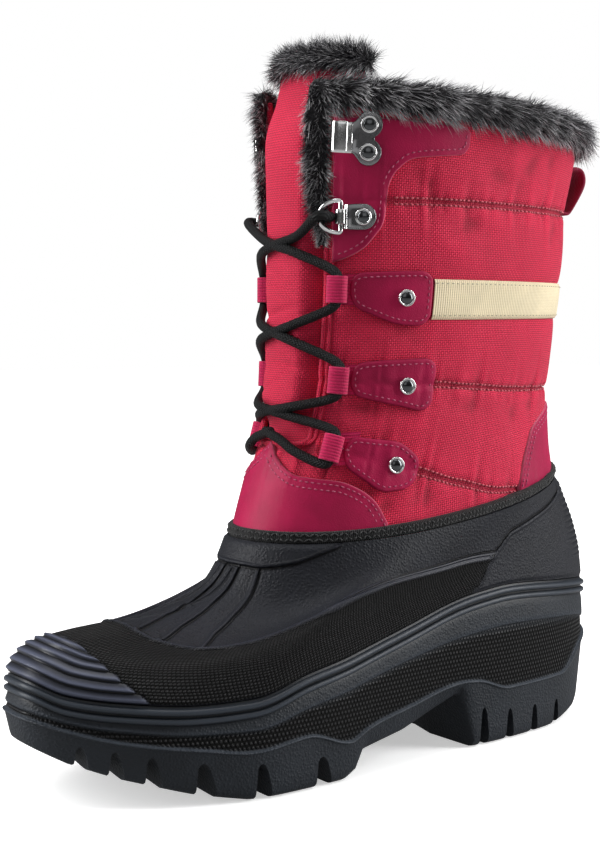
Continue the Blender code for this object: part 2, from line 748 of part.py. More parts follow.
def make_rivet(name, frame, radius, rise=0.0016):
    """A domed rivet head, seated on its frame's place."""
    place, front, up, away = frame
    rings = []
    for share, lift in ((1.0, 0.0), (1.0, 0.35), (0.74, 0.80), (0.30, 1.0)):
        ring = []
        for k in range(RIVET_SIDES):
            turn = 2 * math.pi * k / RIVET_SIDES
            spoke = front * math.cos(turn) + up * math.sin(turn)
            ring.append(place + spoke * radius * share + away * rise * lift)
        rings.append(ring)
    return ring_solid(name, rings, chrome())


def make_ring_and_plate(side, word):
    lift = OVERLAY_GAP + OVERLAY_WALL + GAP
    barrel = RING_WIRE / 2 + GAP
    frame = seat(*RING_SPOT, lift + barrel + PLATE_WALL, side)
    place, front, up, away = frame
    half = RING_SPAN / 2
    path = []
    for k in range(7):
        turn = math.pi * k / 6
        reach = front * (0.0010 + RING_REACH * math.sin(turn))
        path.append(place + up * half * math.cos(turn) + reach + away * 0.0012 * math.sin(turn))
    rings = []
    count = len(path) + 2
    loop = [place + up * half * 0.45] + path + [place - up * half * 0.45]
    for k in range(count):
        ahead = (loop[(k + 1) % count] - loop[k - 1]).normalized()
        side_way = away.cross(ahead).normalized()
        out = ahead.cross(side_way)
        rings.append([loop[k] + (side_way * math.cos(t) + out * math.sin(t)) * RING_WIRE / 2
                      for t in [2 * math.pi * s / 6 for s in range(6)]])
    ring_solid(f"d_ring_{word}", rings, chrome(), closed=True)
    outside = oval((0, 0), barrel + PLATE_WALL, barrel + PLATE_WALL, 10)
    inside = oval((0, 0), barrel, barrel, 10)
    band = extruded(f"d_ring_plate_{word}", outside, frame, 0.0062, chrome(), inside)
    floor = -(barrel + PLATE_WALL)
    tail = [(-barrel * 0.9, floor), (-barrel * 0.9, floor + PLATE_WALL), (-PLATE_LENGTH, floor + PLATE_WALL),
            (-PLATE_LENGTH, floor)]
    back = extruded("plate_tail", tail, frame, PLATE_WIDTH, chrome())
    knob_frame = (place - front * (PLATE_LENGTH - 0.0052) + away * (floor + PLATE_WALL * 0.5), front, up, away)
    knob = make_rivet("plate_knob", knob_frame, RIVET_RADIUS, 0.0024)
    combine(band, [back, knob], "UNION")


def make_hook(side, word):
    lift = OVERLAY_GAP + OVERLAY_WALL + GAP
    frame = seat(*HOOK_SPOT, lift, side)
    place, front, up, away = frame
    wall = PLATE_WALL
    profile = [(-0.001, 0.0), (0.0125, 0.0), (0.0150, 0.0012), (0.0158, 0.0032), (0.0146, 0.0053),
               (0.0100, 0.0060), (0.0080, 0.0056), (0.0082, 0.0056 - wall), (0.0100, 0.0060 - wall),
               (0.0138, 0.0044), (0.0147, 0.0030), (0.0140, 0.0018), (0.0120, wall), (-0.001, wall)]
    hook = extruded(f"speed_hook_{word}", profile, frame, HOOK_WIDTH, chrome())
    extra = []
    for way in (1, -1):
        spot = place + up * 0.0057 * way + front * 0.0004 + away * 0.00015
        disc = make_rivet("hook_lobe", (spot, front, up, away), 0.0056, wall * 0.95)
        knob = make_rivet("hook_knob", (spot + away * wall * 0.5, front, up, away), 0.0036, 0.0020)
        extra += [disc, knob]
    combine(hook, extra, "UNION")


def make_pull_loop():
    place, front, up, away = seat(9.0, 0.890, OVERLAY_GAP * 2, 1)
    # the loop hangs up and down, so its profile is drawn in the plane of up and away
    frame = (place, up, front, away)
    outside = oval((0, PULL_REACH), PULL_HEIGHT / 2, PULL_REACH, 14, 2.6)
    inside = oval((0, PULL_REACH), PULL_HEIGHT / 2 - 0.0014, PULL_REACH - 0.0014, 14, 2.6)
    return extruded("pull_loop", outside, frame, PULL_WIDTH, leather(), inside)


# outward from the edge and away from the surface: the fur's section, as shares of depth and thickness
FUR_SECTION = [(0.06, -0.55), (0.50, -0.66), (0.88, -0.45), (1.00, 0.05), (0.80, 0.52), (0.35, 0.66),
               (-0.25, 0.55), (-0.42, 0.24), (-0.20, 0.075), (0.06, 0.070)]


def fur_ring(edge, out, away, depth, thickness, flat, inside, dice):
    ring = []
    for k, (rise, lift) in enumerate(FUR_SECTION):
        rise *= 1.0 if rise > 0 else flat
        lift *= inside if lift < 0.0 else (1.0 if lift < 0.1 else flat)
        lock = 0.0 if k in (0, 8, 9) else dice.uniform(-0.35, 1.0) * LOCK_LENGTH
        spread = Vector((rise - 0.3, lift)).normalized() * lock
        ring.append(edge + out * (rise * depth + spread.x) + away * (lift * thickness + spread.y))
    return ring


def make_fur_collar():
    dice = random.Random(7)
    rings = []
    stops = []
    for level in (0.800, 0.830, 0.865, 0.900, 0.935, 0.970):
        stops.append((THROAT, level, 0.0))
    stops += [(THROAT, 1.0, 45.0), (THROAT - 2.4, 1.0, 90.0)]
    angle = THROAT - 9
    while angle > 0:
        stops.append((angle, 1.0, 90.0))
        angle -= 9.8
    whole = [(a, level, turn, 1) for a, level, turn in stops]
    whole += [(a, level, turn, -1) for a, level, turn in reversed(stops)]
    for k, (a, level, turn, side) in enumerate(whole):
        spot = a if side > 0 else 360 - a
        edge = cloth(spot, level, mix(0.0009, 0.0002, ease(0, 90, turn)))
        away = normal(shaft_form, spot, min(level, 0.98))
        up = (shaft_form(spot, level) - shaft_form(spot, level - 0.04)).normalized()
        front = up.cross(away).normalized() * -side
        out = front * math.cos(math.radians(turn)) + up * math.sin(math.radians(turn))
        end = min(k, len(whole) - 1 - k)
        size = 0.55 + 0.45 * ease(-1, 2, end)
        depth = FUR_DEPTH * mix(1.15, 1.0, ease(0, 90, turn)) * size
        flat = mix(0.20 if side > 0 else 0.8, 1.0, ease(0, 90, turn))
        inside = mix(0.10, mix(1.0, 0.3, ease(118, 134, a)), ease(0, 90, turn))
        tilt = math.radians(30) * (1 - ease(0, 90, turn))
        out = out * math.cos(tilt) + away * math.sin(tilt)
        thick = FUR_THICKNESS * size * mix(1.0 if side > 0 else 1.6, 1.0, ease(0, 90, turn))
        rings.append(fur_ring(edge + out * OVERLAY_GAP * 1.4, out, away, depth, thick, flat, inside, dice))
    return section_solid("fur_collar", rings, fur())


def make_fur_tongue():
    dice = random.Random(11)
    rings = []
    angles = [146, 151, 156, 161, 166, 171, 175, 180, 185, 189, 194, 199, 204, 209, 214]
    for k, a in enumerate(angles):
        top = tongue_point(a, 1.055, -TONGUE_THICKNESS / 2)
        up = (tongue_point(a, 1.055, 0) - tongue_point(a, 0.97, 0)).normalized()
        away = normal(shaft_form, a, 0.98)
        size = 0.6 + 0.4 * ease(-1, 2, min(k, len(angles) - 1 - k))
        ring = []
        for rise, lift in ((0.0, -0.38), (0.30, -0.62), (0.75, -0.50), (1.0, 0.0), (0.72, 0.55), (0.28, 0.66),
                           (0.0, 0.42)):
            lock = 0.0 if rise == 0.0 else dice.uniform(-0.35, 1.0) * LOCK_LENGTH
            spread = Vector((rise - 0.2, lift)).normalized() * lock
            ring.append(top + up * (GAP + rise * FUR_DEPTH * size + spread.x)
                        + away * (lift * FUR_THICKNESS * size + spread.y))
        rings.append(ring)
    return section_solid("fur_tongue", rings, fur())


def section_solid(name, rings, material):
    """Sections joined along a path, each end closed by a fan round its middle."""
    count = len(rings[0])
    points = [p for ring in rings for p in ring]
    faces = []
    for r in range(len(rings) - 1):
        for k in range(count):
            k2 = (k + 1) % count
            faces.append((r * count + k, r * count + k2, (r + 1) * count + k2, (r + 1) * count + k))
    for r in (0, len(rings) - 1):
        middle = sum(rings[r], Vector()) / count
        points.append(middle)
        for k in range(count):
            faces.append((r * count + k, r * count + (k + 1) % count, len(points) - 1))
    return add(name, points, faces, material)


def ring_eye(way, forward, lift):
    """A place off the middle of a D ring's opening."""
    height_off = OVERLAY_GAP + OVERLAY_WALL + GAP * 2 + RING_WIRE / 2 + PLATE_WALL
    place, front, up, away = seat(*RING_SPOT, height_off, way)
    return place + front * (RING_REACH * 0.56 + forward) + away * lift


def over_front(angle, level, lift):
    """A place over the tongue or the throat's edge, whichever stands out further."""
    inner = tongue_point(angle, level, lift)
    outer = pushed(shaft_form, angle, level, OVERLAY_GAP + lift)
    return inner if inner.y < outer.y else outer


def lace_stops(side):
    """The lace from one ring down to the bar across the tongue's foot, close over the tongue."""
    hold = OVERLAY_GAP + GAP + LACE_DIAMETER / 2 + LOOP_WALL + LOOP_PLAY
    clear = LACE_DIAMETER / 2 + LACE_CLEAR

    def loop(k, way, rise, forward=0.0, outward=0.0):
        place, front, up, away = seat(*LOOP_SPOTS[k], hold, way)
        return place + up * rise + front * forward + away * outward

    rise = LOOP_HEIGHT / 2
    stops = [ring_eye(side, 0.0, -0.0012), ring_eye(side, 0.0, 0.0022), ring_eye(side, 0.0045, 0.0060)]
    way = side
    level = RING_SPOT[1]
    for k in range(3):
        start = level - (0.020 if k == 0 else 0.050)
        level = LOOP_SPOTS[k][1]
        end = level + 0.055
        for share, turn in ((0.14, 17.5), (0.28, 11.5), (0.5, 0), (0.72, -11.5), (0.88, -19)):
            stops.append(over_front(180 - turn * way, mix(start, end, share), clear))
        way = -way
        stops += [loop(k, way, rise + 0.0034, 0.0006, 0.0010), loop(k, way, 0.0),
                  loop(k, way, -rise - 0.0034, 0.0006, 0.0006)]
    for turn, height_level in ((25, 0.268), (17, 0.290), (9, 0.318), (-1.5, 0.328)):
        stops.append(over_front(180 - turn * way, height_level, clear))
    return stops


def make_lace():
    first = tube("lace", smooth_path(lace_stops(1), 0.0095), LACE_DIAMETER / 2, 6, cord())
    second = tube("lace_other", smooth_path(lace_stops(-1), 0.0095), LACE_DIAMETER / 2, 6, cord())
    return combine(first, [second], "UNION")


def centre_everything():
    """The frame's origin is the middle of the whole box's floor."""
    corners = [item.matrix_world @ v.co for item in bpy.data.objects for v in item.data.vertices]
    low = [min(c[i] for c in corners) for i in range(3)]
    high = [max(c[i] for c in corners) for i in range(3)]
    shift = Matrix.Translation((-(low[0] + high[0]) / 2, -(low[1] + high[1]) / 2, -low[2]))
    for item in bpy.data.objects:
        item.data.transform(shift)


def main():
    for item in list(bpy.data.objects):
        bpy.data.objects.remove(item)
    make_outsole()
    make_insole()
    make_shell()
    make_shaft()
    make_tongue()
    make_overlays()
    make_tape()
    for side, word in ((1, "lateral"), (-1, "medial")):
        make_tabs(side, word)
        make_ring_and_plate(side, word)
        make_hook(side, word)
    make_pull_loop()
    make_fur_collar()
    make_fur_tongue()
    make_lace()
    centre_everything()


main()
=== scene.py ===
"""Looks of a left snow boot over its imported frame: toe towards -Y, outer side towards +X, in metres."""

import json
import math

import bmesh
import bpy
import numpy as np
from mathutils import Matrix, Vector

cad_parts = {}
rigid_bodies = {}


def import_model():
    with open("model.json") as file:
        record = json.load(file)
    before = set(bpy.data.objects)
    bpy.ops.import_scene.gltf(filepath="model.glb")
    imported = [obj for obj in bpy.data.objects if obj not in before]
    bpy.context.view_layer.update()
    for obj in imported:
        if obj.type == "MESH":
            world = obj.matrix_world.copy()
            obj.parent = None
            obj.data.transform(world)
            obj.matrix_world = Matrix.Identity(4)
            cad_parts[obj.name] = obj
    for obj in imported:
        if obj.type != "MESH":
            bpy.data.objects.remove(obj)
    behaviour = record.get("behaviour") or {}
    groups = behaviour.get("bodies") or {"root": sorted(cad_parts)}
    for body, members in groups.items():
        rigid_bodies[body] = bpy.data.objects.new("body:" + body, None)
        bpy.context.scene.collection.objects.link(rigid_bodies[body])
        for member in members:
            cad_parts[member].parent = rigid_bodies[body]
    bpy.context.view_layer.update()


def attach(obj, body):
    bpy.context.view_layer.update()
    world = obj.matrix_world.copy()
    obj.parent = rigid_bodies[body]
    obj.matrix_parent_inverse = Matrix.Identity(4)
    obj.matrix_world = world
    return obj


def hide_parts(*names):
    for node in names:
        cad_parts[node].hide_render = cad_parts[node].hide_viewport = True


bl_info = {
    "name": "Snow boot",
    "version": (1, 0, 0),
    "blender": (4, 5, 0),
    "location": "View3D > Sidebar > Snow boot",
    "description": "Builds the cloth, leather, rubber, fur, metal and lace of a snow boot over its frame",
    "category": "Object",
}

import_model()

# driving sizes of the boot
SOLE_LENGTH = 0.300
BALL_WIDTH = 0.102
SOLE_HEIGHT = 0.070
SHAFT_DEPTH = 0.146
SHAFT_WIDTH = 0.094
SHAFT_HEIGHT = 0.288
SHELL_WALL = 0.0030
SHAFT_WALL = 0.0022
GAP = 0.0003
OVERLAY_GAP = 0.0005
OVERLAY_WALL = 0.0013
METAL_LIFT = OVERLAY_GAP + OVERLAY_WALL + GAP
FOOTBED_INSET = 0.0075
TONGUE_THICKNESS = 0.0060
TONGUE_BULGE = 0.0070
TONGUE_LEAN = 0.0090
LACE_DIAMETER = 0.0042
LACE_CLEAR = 0.0012
LOOP_PLAY = 0.0009
LOOP_HEIGHT = 0.0115
LOOP_LENGTH = 0.0088
LOOP_WALL = 0.0010
RING_WIRE = 0.0022
RING_SPAN = 0.0135
RING_REACH = 0.0080
PLATE_WALL = 0.0010
PULL_WIDTH = 0.0130
PULL_HEIGHT = 0.0240
PULL_REACH = 0.0062
ROUND_ENDS = 0.8
SHAFT_POWER = 2.2
TOPLINE = 0.10
THROAT = 156.0
MEDIAL_TURN = 8.0
SIDES = ((1, "lateral"), (-1, "medial"))
# millimetres on the shaft's cloth for one degree round it and for its whole height
DEGREE_MM = 0.92
LEVEL_MM = 182
# the camera's focal length and frame, in pixels
FOCAL_PIXELS = 1545
FRAME_HEIGHT = 853
# the frame's origin is the middle of the whole box, this far from the shape's own
CENTRE = np.array((0.00014, 0.0, 0.0))

# angle, lateral, medial: half widths of the sole as shares of BALL_WIDTH, heel back 0, toe 180
SOLE_ROWS = [
    (0, 0.450, 0.450),
    (35, 0.455, 0.445),
    (57, 0.440, 0.420),
    (75, 0.420, 0.350),
    (90, 0.450, 0.372),
    (105, 0.510, 0.450),
    (117, 0.545, 0.520),
    (130, 0.535, 0.565),
    (150, 0.450, 0.575),
    (180, 0.380, 0.600),
]
# y as a share of SOLE_LENGTH, then heights as shares of SOLE_HEIGHT:
# feather line, top and foot of the knurled band, underside, groove roof, footbed
HEIGHT_ROWS = [
    (-0.500, 0.730, 0.560, 0.520, 0.330, 0.380, 0.500),
    (-0.465, 0.655, 0.510, 0.466, 0.257, 0.330, 0.460),
    (-0.410, 0.615, 0.463, 0.402, 0.171, 0.290, 0.415),
    (-0.310, 0.589, 0.425, 0.340, 0.057, 0.206, 0.340),
    (-0.240, 0.600, 0.420, 0.300, 0.000, 0.170, 0.290),
    (-0.155, 0.697, 0.500, 0.340, 0.000, 0.140, 0.275),
    (-0.077, 0.760, 0.560, 0.250, 0.000, 0.130, 0.290),
    (-0.057, 0.780, 0.580, 0.280, 0.043, 0.150, 0.300),
    (-0.047, 0.790, 0.590, 0.300, 0.150, 0.155, 0.310),
    (0.040, 0.880, 0.670, 0.380, 0.215, 0.220, 0.370),
    (0.153, 1.000, 0.750, 0.460, 0.370, 0.375, 0.500),
    (0.183, 1.020, 0.765, 0.450, 0.000, 0.270, 0.500),
    (0.250, 1.045, 0.785, 0.370, 0.000, 0.210, 0.470),
    (0.380, 1.010, 0.760, 0.370, 0.000, 0.180, 0.450),
    (0.450, 0.980, 0.720, 0.530, 0.057, 0.220, 0.460),
    (0.500, 0.945, 0.660, 0.610, 0.200, 0.260, 0.470),
]
FEATHER, KNURL_TOP, KNURL_FOOT, UNDERSIDE, GROOVE_ROOF, FOOTBED = range(1, 7)
# level, front y, front z, back y, back z, lateral, medial, sag, as shares of the shaft's sizes
SHAFT_ROWS = [
    (0.00, -0.291, 0.316, 0.849, 0.392, 0.418, 0.392, 0.016),
    (0.10, -0.295, 0.340, 0.856, 0.420, 0.447, 0.447, 0.016),
    (0.20, -0.257, 0.410, 0.829, 0.479, 0.447, 0.447, 0.012),
    (0.30, -0.202, 0.486, 0.815, 0.542, 0.452, 0.447, 0.000),
    (0.42, -0.164, 0.573, 0.818, 0.597, 0.468, 0.457, 0.000),
    (0.63, -0.154, 0.729, 0.849, 0.729, 0.500, 0.489, 0.000),
    (0.80, -0.158, 0.847, 0.860, 0.833, 0.511, 0.500, 0.000),
    (1.00, -0.168, 1.000, 0.904, 0.965, 0.553, 0.543, 0.000),
]
# level, run, rise of the shell from the feather line to the topline, at the toe and at the side
TOE_ROWS = [
    (0.00, 0.00, 0.00),
    (0.12, 0.03, 0.11),
    (0.24, 0.10, 0.22),
    (0.38, 0.25, 0.28),
    (0.54, 0.51, 0.335),
    (0.70, 0.74, 0.435),
    (0.82, 0.88, 0.59),
    (0.91, 0.95, 0.78),
    (1.00, 1.00, 1.00),
]
SIDE_ROWS = [
    (0.00, 0.00, 0.00),
    (0.25, 0.12, 0.27),
    (0.50, 0.36, 0.54),
    (0.75, 0.68, 0.78),
    (1.00, 1.00, 1.00),
]
# angle, level of the mudguard's top bead on the shell
PANEL_ROWS = [(0, 0.30), (60, 0.30), (68, 0.37), (82, 0.464), (101, 0.545), (119, 0.550), (130, 0.476),
              (140, 0.450), (156, 0.478), (180, 0.505)]
# angle, level of the three quilting seams, heel back 0
SEAM_ROWS = [
    (0, 0.822, 0.345, 0.100),
    (14, 0.819, 0.347, 0.104),
    (43, 0.814, 0.358, 0.118),
    (73, 0.810, 0.378, 0.148),
    (105, 0.806, 0.410, 0.226),
    (128, 0.802, 0.420, 0.262),
    (156, 0.800, 0.430, 0.290),
]
# angle, low level, high level of each overlay, outer side
EYESTAY_ROWS = [
    (153.0, 0.667, 0.960), (147, 0.676, 0.960), (139.3, 0.697, 0.960), (134.5, 0.725, 0.960),
    (130.6, 0.763, 0.960), (129.4, 0.830, 0.960), (125.5, 0.868, 0.960), (120.8, 0.887, 0.960),
    (110, 0.898, 0.960), (102.6, 0.906, 0.959), (100.7, 0.922, 0.948),
]
VAMP_ROWS = [
    (114.4, 0.107, 0.136), (117.1, 0.107, 0.160), (120.9, 0.107, 0.184), (128.4, 0.107, 0.210),
    (136.3, 0.107, 0.224), (147.8, 0.107, 0.231), (156.4, 0.107, 0.236), (164, 0.107, 0.248),
    (172, 0.107, 0.268), (180, 0.107, 0.298),
]
COUNTER_ROWS = [
    (0, 0.107, 0.300), (14, 0.107, 0.300), (30, 0.107, 0.296), (43, 0.107, 0.282), (55.5, 0.107, 0.257),
    (59.8, 0.107, 0.220), (63.8, 0.107, 0.155),
]
TAB_ROWS = [
    [(111.0, 0.537, 0.653), (113.6, 0.537, 0.653), (121.2, 0.539, 0.652), (135.5, 0.562, 0.648),
     (140.7, 0.572, 0.646), (144.5, 0.580, 0.643)],
    [(106.6, 0.347, 0.471), (108.8, 0.348, 0.471), (118, 0.364, 0.470), (128.8, 0.380, 0.468),
     (138.2, 0.394, 0.464), (141.4, 0.400, 0.461)],
    [(106.2, 0.199, 0.259), (108.5, 0.197, 0.262), (116.5, 0.196, 0.286), (126, 0.222, 0.297),
     (135.5, 0.250, 0.306), (138.1, 0.257, 0.307)],
]
RIVET_SPOTS = [(121.4, 0.595), (117.6, 0.412), (115.5, 0.244)]
LOOP_SPOTS = [(149.6, 0.611), (146.5, 0.429), (143.4, 0.284)]
RING_SPOT = (148.5, 0.765)
HOOK_SPOT = (138.5, 0.920)
# angle, level at each end, width and depth in mm of the creases of the cloth, outer side
FOLD_ROWS = [
    (109.0, 0.779, 93.0, 0.700, 4.2, -0.9),
    (100.0, 0.786, 92.0, 0.745, 3.2, -0.7),
    (104.0, 0.745, 96.0, 0.690, 5.0, 0.7),
    (71.0, 0.945, 78.0, 0.865, 3.4, -0.8),
    (62.0, 0.950, 66.0, 0.890, 3.4, -0.6),
    (92.0, 0.900, 84.0, 0.842, 3.6, -0.6),
    (118.0, 0.858, 112.0, 0.820, 3.0, -0.6),
    (50.0, 0.800, 56.0, 0.745, 3.2, -0.6),
    (132.0, 0.545, 108.0, 0.500, 5.0, -0.7),
    (143.0, 0.560, 122.0, 0.510, 4.0, 0.6),
    (146.0, 0.385, 122.0, 0.335, 4.6, -0.8),
    (140.0, 0.350, 112.0, 0.318, 4.0, 0.7),
    (142.0, 0.245, 117.0, 0.170, 3.4, -1.1),
    (146.0, 0.262, 121.0, 0.178, 3.4, 0.8),
    (104.0, 0.200, 98.0, 0.150, 4.0, -0.7),
    (73.0, 0.335, 66.0, 0.270, 4.0, -0.6),
    (60.0, 0.340, 57.0, 0.285, 3.5, -0.5),
    (96.0, 0.360, 86.0, 0.330, 3.5, -0.5),
]
# angle, level of the lines moulded in the shell
RIDGES = [
    [(161.9, 0.925), (156.4, 0.718), (151.0, 0.600), (143.8, 0.486)],
    [(173.0, 0.925), (170.4, 0.754), (164.5, 0.600), (157.8, 0.489)],
    [(182.0, 0.925), (181.6, 0.780), (178.0, 0.620), (171.0, 0.500)],
]
REAR_CREASE = [(70.0, 0.020), (68.3, 0.113), (67.6, 0.250), (66.6, 0.365), (63.6, 0.604), (53.5, 0.715),
               (41.3, 0.810), (33.0, 0.860)]
TOE_CAP = [(137.6, 0.000), (138.6, 0.021), (142.4, 0.101), (147.5, 0.177), (156.8, 0.270), (164.6, 0.310),
           (173.1, 0.334), (180.0, 0.342)]
RIB_PITCH = 0.0041
# heights of the outsole's two beads over its feather line
SOLE_BEADS = (-0.0060, -0.0024)
# y as a share of SOLE_LENGTH, and width, of the grooves between the lugs
TREAD_GROOVES = [(-0.445, 0.0060), (-0.407, 0.0062), (-0.365, 0.0070), (-0.300, 0.0092), (-0.220, 0.0080),
                 (-0.118, 0.0095), (0.205, 0.0058), (0.262, 0.0058), (0.322, 0.0058), (0.382, 0.0056)]
# share of a groove's width, drop from its roof
FIN_ROWS = [(0.0, 0.0020), (0.08, 0.0006), (0.22, 0.0), (0.38, 0.0008), (0.56, 0.0034), (0.74, 0.0078),
            (0.92, 0.0130)]
# level, angle, slope, width, depth of the tongue's creases
TONGUE_CREASES = [(0.455, 172, 0.0012, 0.006, 0.0012), (0.560, 186, -0.0010, 0.005, 0.0010),
                  (0.600, 170, 0.0016, 0.004, 0.0006), (0.705, 188, -0.0012, 0.005, 0.0007),
                  (0.360, 176, 0.0010, 0.007, 0.0013), (0.405, 190, -0.0018, 0.004, 0.0006)]
# rise, lift of the fur's section as shares of its depth and thickness
FUR_SECTION = [(0.06, -0.55), (0.50, -0.66), (0.88, -0.45), (1.00, 0.05), (0.80, 0.52), (0.35, 0.66),
               (-0.25, 0.55), (-0.42, 0.24), (-0.20, 0.075), (0.06, 0.070)]
TONGUE_FUR_SECTION = [(0.0, -0.38), (0.30, -0.62), (0.75, -0.50), (1.0, 0.0), (0.72, 0.55), (0.28, 0.66),
                      (0.0, 0.42)]


def curve(rows, column, x):
    """Smooth value of one column of a table, without overshoot."""
    xs = np.array([row[0] for row in rows], float)
    ys = np.array([row[column] for row in rows], float)
    steps = np.diff(xs)
    slopes = np.diff(ys) / steps
    tangents = np.zeros(len(xs))
    tangents[[0, -1]] = slopes[[0, -1]]
    for i in range(1, len(xs) - 1):
        if slopes[i - 1] * slopes[i] > 0:
            w1 = 2 * steps[i] + steps[i - 1]
            w2 = steps[i] + 2 * steps[i - 1]
            tangents[i] = (w1 + w2) / (w1 / slopes[i - 1] + w2 / slopes[i])
    x = np.clip(np.asarray(x, float), xs[0], xs[-1])
    i = np.clip(np.searchsorted(xs, x, side="left") - 1, 0, len(steps) - 1)
    t = (x - xs[i]) / steps[i]
    start = (2 * t**3 - 3 * t**2 + 1) * ys[i] + (t**3 - 2 * t**2 + t) * steps[i] * tangents[i]
    end = (3 * t**2 - 2 * t**3) * ys[i + 1] + (t**3 - t**2) * steps[i] * tangents[i + 1]
    return start + end


def ease(low, high, x):
    t = np.clip((np.asarray(x, float) - low) / (high - low), 0.0, 1.0)
    return t * t * (3 - 2 * t)


def mix(a, b, t):
    return a + (b - a) * t


def bump(distance, width):
    return np.exp(-(distance / width) ** 2)


def dome(share):
    return np.sqrt(np.clip(1 - share**2, 0, 1))


def rounded(distance, width):
    """Height of a rounded edge, from 0 at the edge to 1 at its width."""
    return dome(1 - np.clip(distance / width, 0, 1))


def both(first, second):
    return np.meshgrid(first, second, indexing="ij")


def folded(angle):
    """Angle from the heel, 0 to 180, the same on both sides."""
    turn = np.asarray(angle, float) % 360
    return np.where(turn <= 180, turn, 360 - turn)


def signed_power(value, power):
    return np.sign(value) * np.abs(value) ** power


def stack(x, y, z):
    return np.stack(np.broadcast_arrays(x, y, z), -1)


def unit(vectors):
    return vectors / np.maximum(np.linalg.norm(vectors, axis=-1, keepdims=True), 1e-12)


def outline(angle, outward=0.0):
    """Plan point of the sole, moved outward along the plan's own normal."""

    def at(turn):
        lateral = turn % 360 <= 180
        width = np.where(lateral, curve(SOLE_ROWS, 1, folded(turn)), curve(SOLE_ROWS, 2, folded(turn)))
        side = width * BALL_WIDTH * signed_power(np.sin(np.radians(turn)), ROUND_ENDS)
        return np.stack([side, 0.5 * SOLE_LENGTH * np.cos(np.radians(turn))], -1)

    angle = np.asarray(angle, float)
    along = at(angle + 2.0) - at(angle - 2.0)
    away = unit(np.stack([-along[..., 1], along[..., 0]], -1))
    return at(angle) + away * np.asarray(outward, float)[..., None]


def height(column, y):
    share = np.asarray(y, float) / SOLE_LENGTH
    if column in (UNDERSIDE, GROOVE_ROOF):
        return np.interp(share, [r[0] for r in HEIGHT_ROWS], [r[column] for r in HEIGHT_ROWS]) * SOLE_HEIGHT
    return curve(HEIGHT_ROWS, column, share) * SOLE_HEIGHT


def shaft_form(angle, level):
    fy, fz, by, bz, lateral, medial, sag = [curve(SHAFT_ROWS, i, level) for i in range(1, 8)]
    turn = np.radians(angle)
    c = signed_power(np.cos(turn), 2 / SHAFT_POWER)
    s = signed_power(np.sin(turn), 2 / SHAFT_POWER)
    front = 0.5 - 0.5 * c
    y = mix(by, fy, front) * SHAFT_DEPTH
    z = (mix(bz, fz, front) - sag * np.sin(turn) ** 2) * SHAFT_HEIGHT
    return stack(s * np.where(s > 0, lateral, medial) * SHAFT_WIDTH, y, z)


def shell_form(angle, level):
    foot = outline(angle)
    foot_z = height(FEATHER, foot[..., 1]) + GAP
    top = pushed(shaft_form, angle, TOPLINE, SHELL_WALL + GAP)
    near = ease(95, 145, folded(angle))
    run = mix(curve(SIDE_ROWS, 1, level), curve(TOE_ROWS, 1, level), near)
    rise = mix(curve(SIDE_ROWS, 2, level), curve(TOE_ROWS, 2, level), near)
    return stack(mix(foot[..., 0], top[..., 0], run), mix(foot[..., 1], top[..., 1], run),
                 mix(foot_z, top[..., 2], rise))


def normal(form, angle, level):
    level = np.asarray(level, float)
    along = form(angle + 1.5, level) - form(angle - 1.5, level)
    up = form(angle, np.minimum(level + 0.02, 1.0)) - form(angle, np.maximum(level - 0.02, 0.0))
    return unit(np.cross(up, along))


def pushed(form, angle, level, distance):
    angle, level = np.broadcast_arrays(np.asarray(angle, float), np.asarray(level, float))
    return form(angle, level) + normal(form, angle, level) * np.asarray(distance, float)[..., None]


def puff(angle, level):
    """How far the padded cloth stands off its form: pillows between the seams, puckers, and creases."""
    angle = np.asarray(angle, float)
    side = folded(angle)
    a, b, c = [curve(SEAM_ROWS, k, side) for k in (1, 2, 3)]
    belt_foot, belt_top = 0.551 + 0 * a, 0.634 + 0 * a
    total = np.zeros(np.broadcast(angle, level).shape)
    for low, high, full in ((c, b, 1.6), (b, belt_foot, 1.6), (belt_foot, belt_top, 0.25), (belt_top, a, 1.8),
                            (a, 1.01 + 0 * a, 1.6)):
        t = np.clip((level - low) / np.maximum(high - low, 1e-4), 0, 1)
        total += full * (4 * t * (1 - t)) ** 0.55
    total *= 1 - 0.72 * ease(104, 130, side)
    across = angle * DEGREE_MM
    for k, seam in enumerate((a, b, c)):
        d = (level - seam) * LEVEL_MM
        wave = np.sin(across * 0.95 + 1.7 * np.sin(across * 0.31 + k) + 0.9 * np.sin(across * 0.83 + 2 * k))
        wave += 0.6 * np.sin(across * 0.47 + 3 * k + 1.0)
        reach = 5.0 + 3.0 * np.sin(across * 0.37 + k * 2.1)
        total += 0.72 * wave * np.exp(-np.abs(d) / reach) * (1 - bump(d, 1.2)) - 1.0 * bump(d, 1.8)
    # the medial side has the same creases, a little further round
    for turn in (angle % 360, 360 - angle % 360 + 5.0):
        for a0, l0, a1, l1, width, depth in FOLD_ROWS:
            dx, dy = (a1 - a0) * DEGREE_MM, (l1 - l0) * LEVEL_MM
            px, py = (turn - a0) * DEGREE_MM, (level - l0) * LEVEL_MM
            t = np.clip((px * dx + py * dy) / (dx * dx + dy * dy), 0, 1)
            d = np.hypot(px - t * dx, py - t * dy)
            fade = 0.35 + 0.65 * np.sin(np.pi * np.clip(t, 0.12, 0.88))
            total = total + 1.7 * depth * bump(d, 1.25 * width) * fade
    return total * 0.001


def skin(angle, level, lift=0.0, share=1.0):
    """Point on the quilted cloth, with a share of its relief."""
    return pushed(shaft_form, angle, level, share * puff(angle, level) + lift) + CENTRE


def under(angle, level, lift=0.0):
    """Point on the cloth with its quilting pressed half flat, as below a sewn leather piece."""
    return skin(angle, level, lift, 0.45)


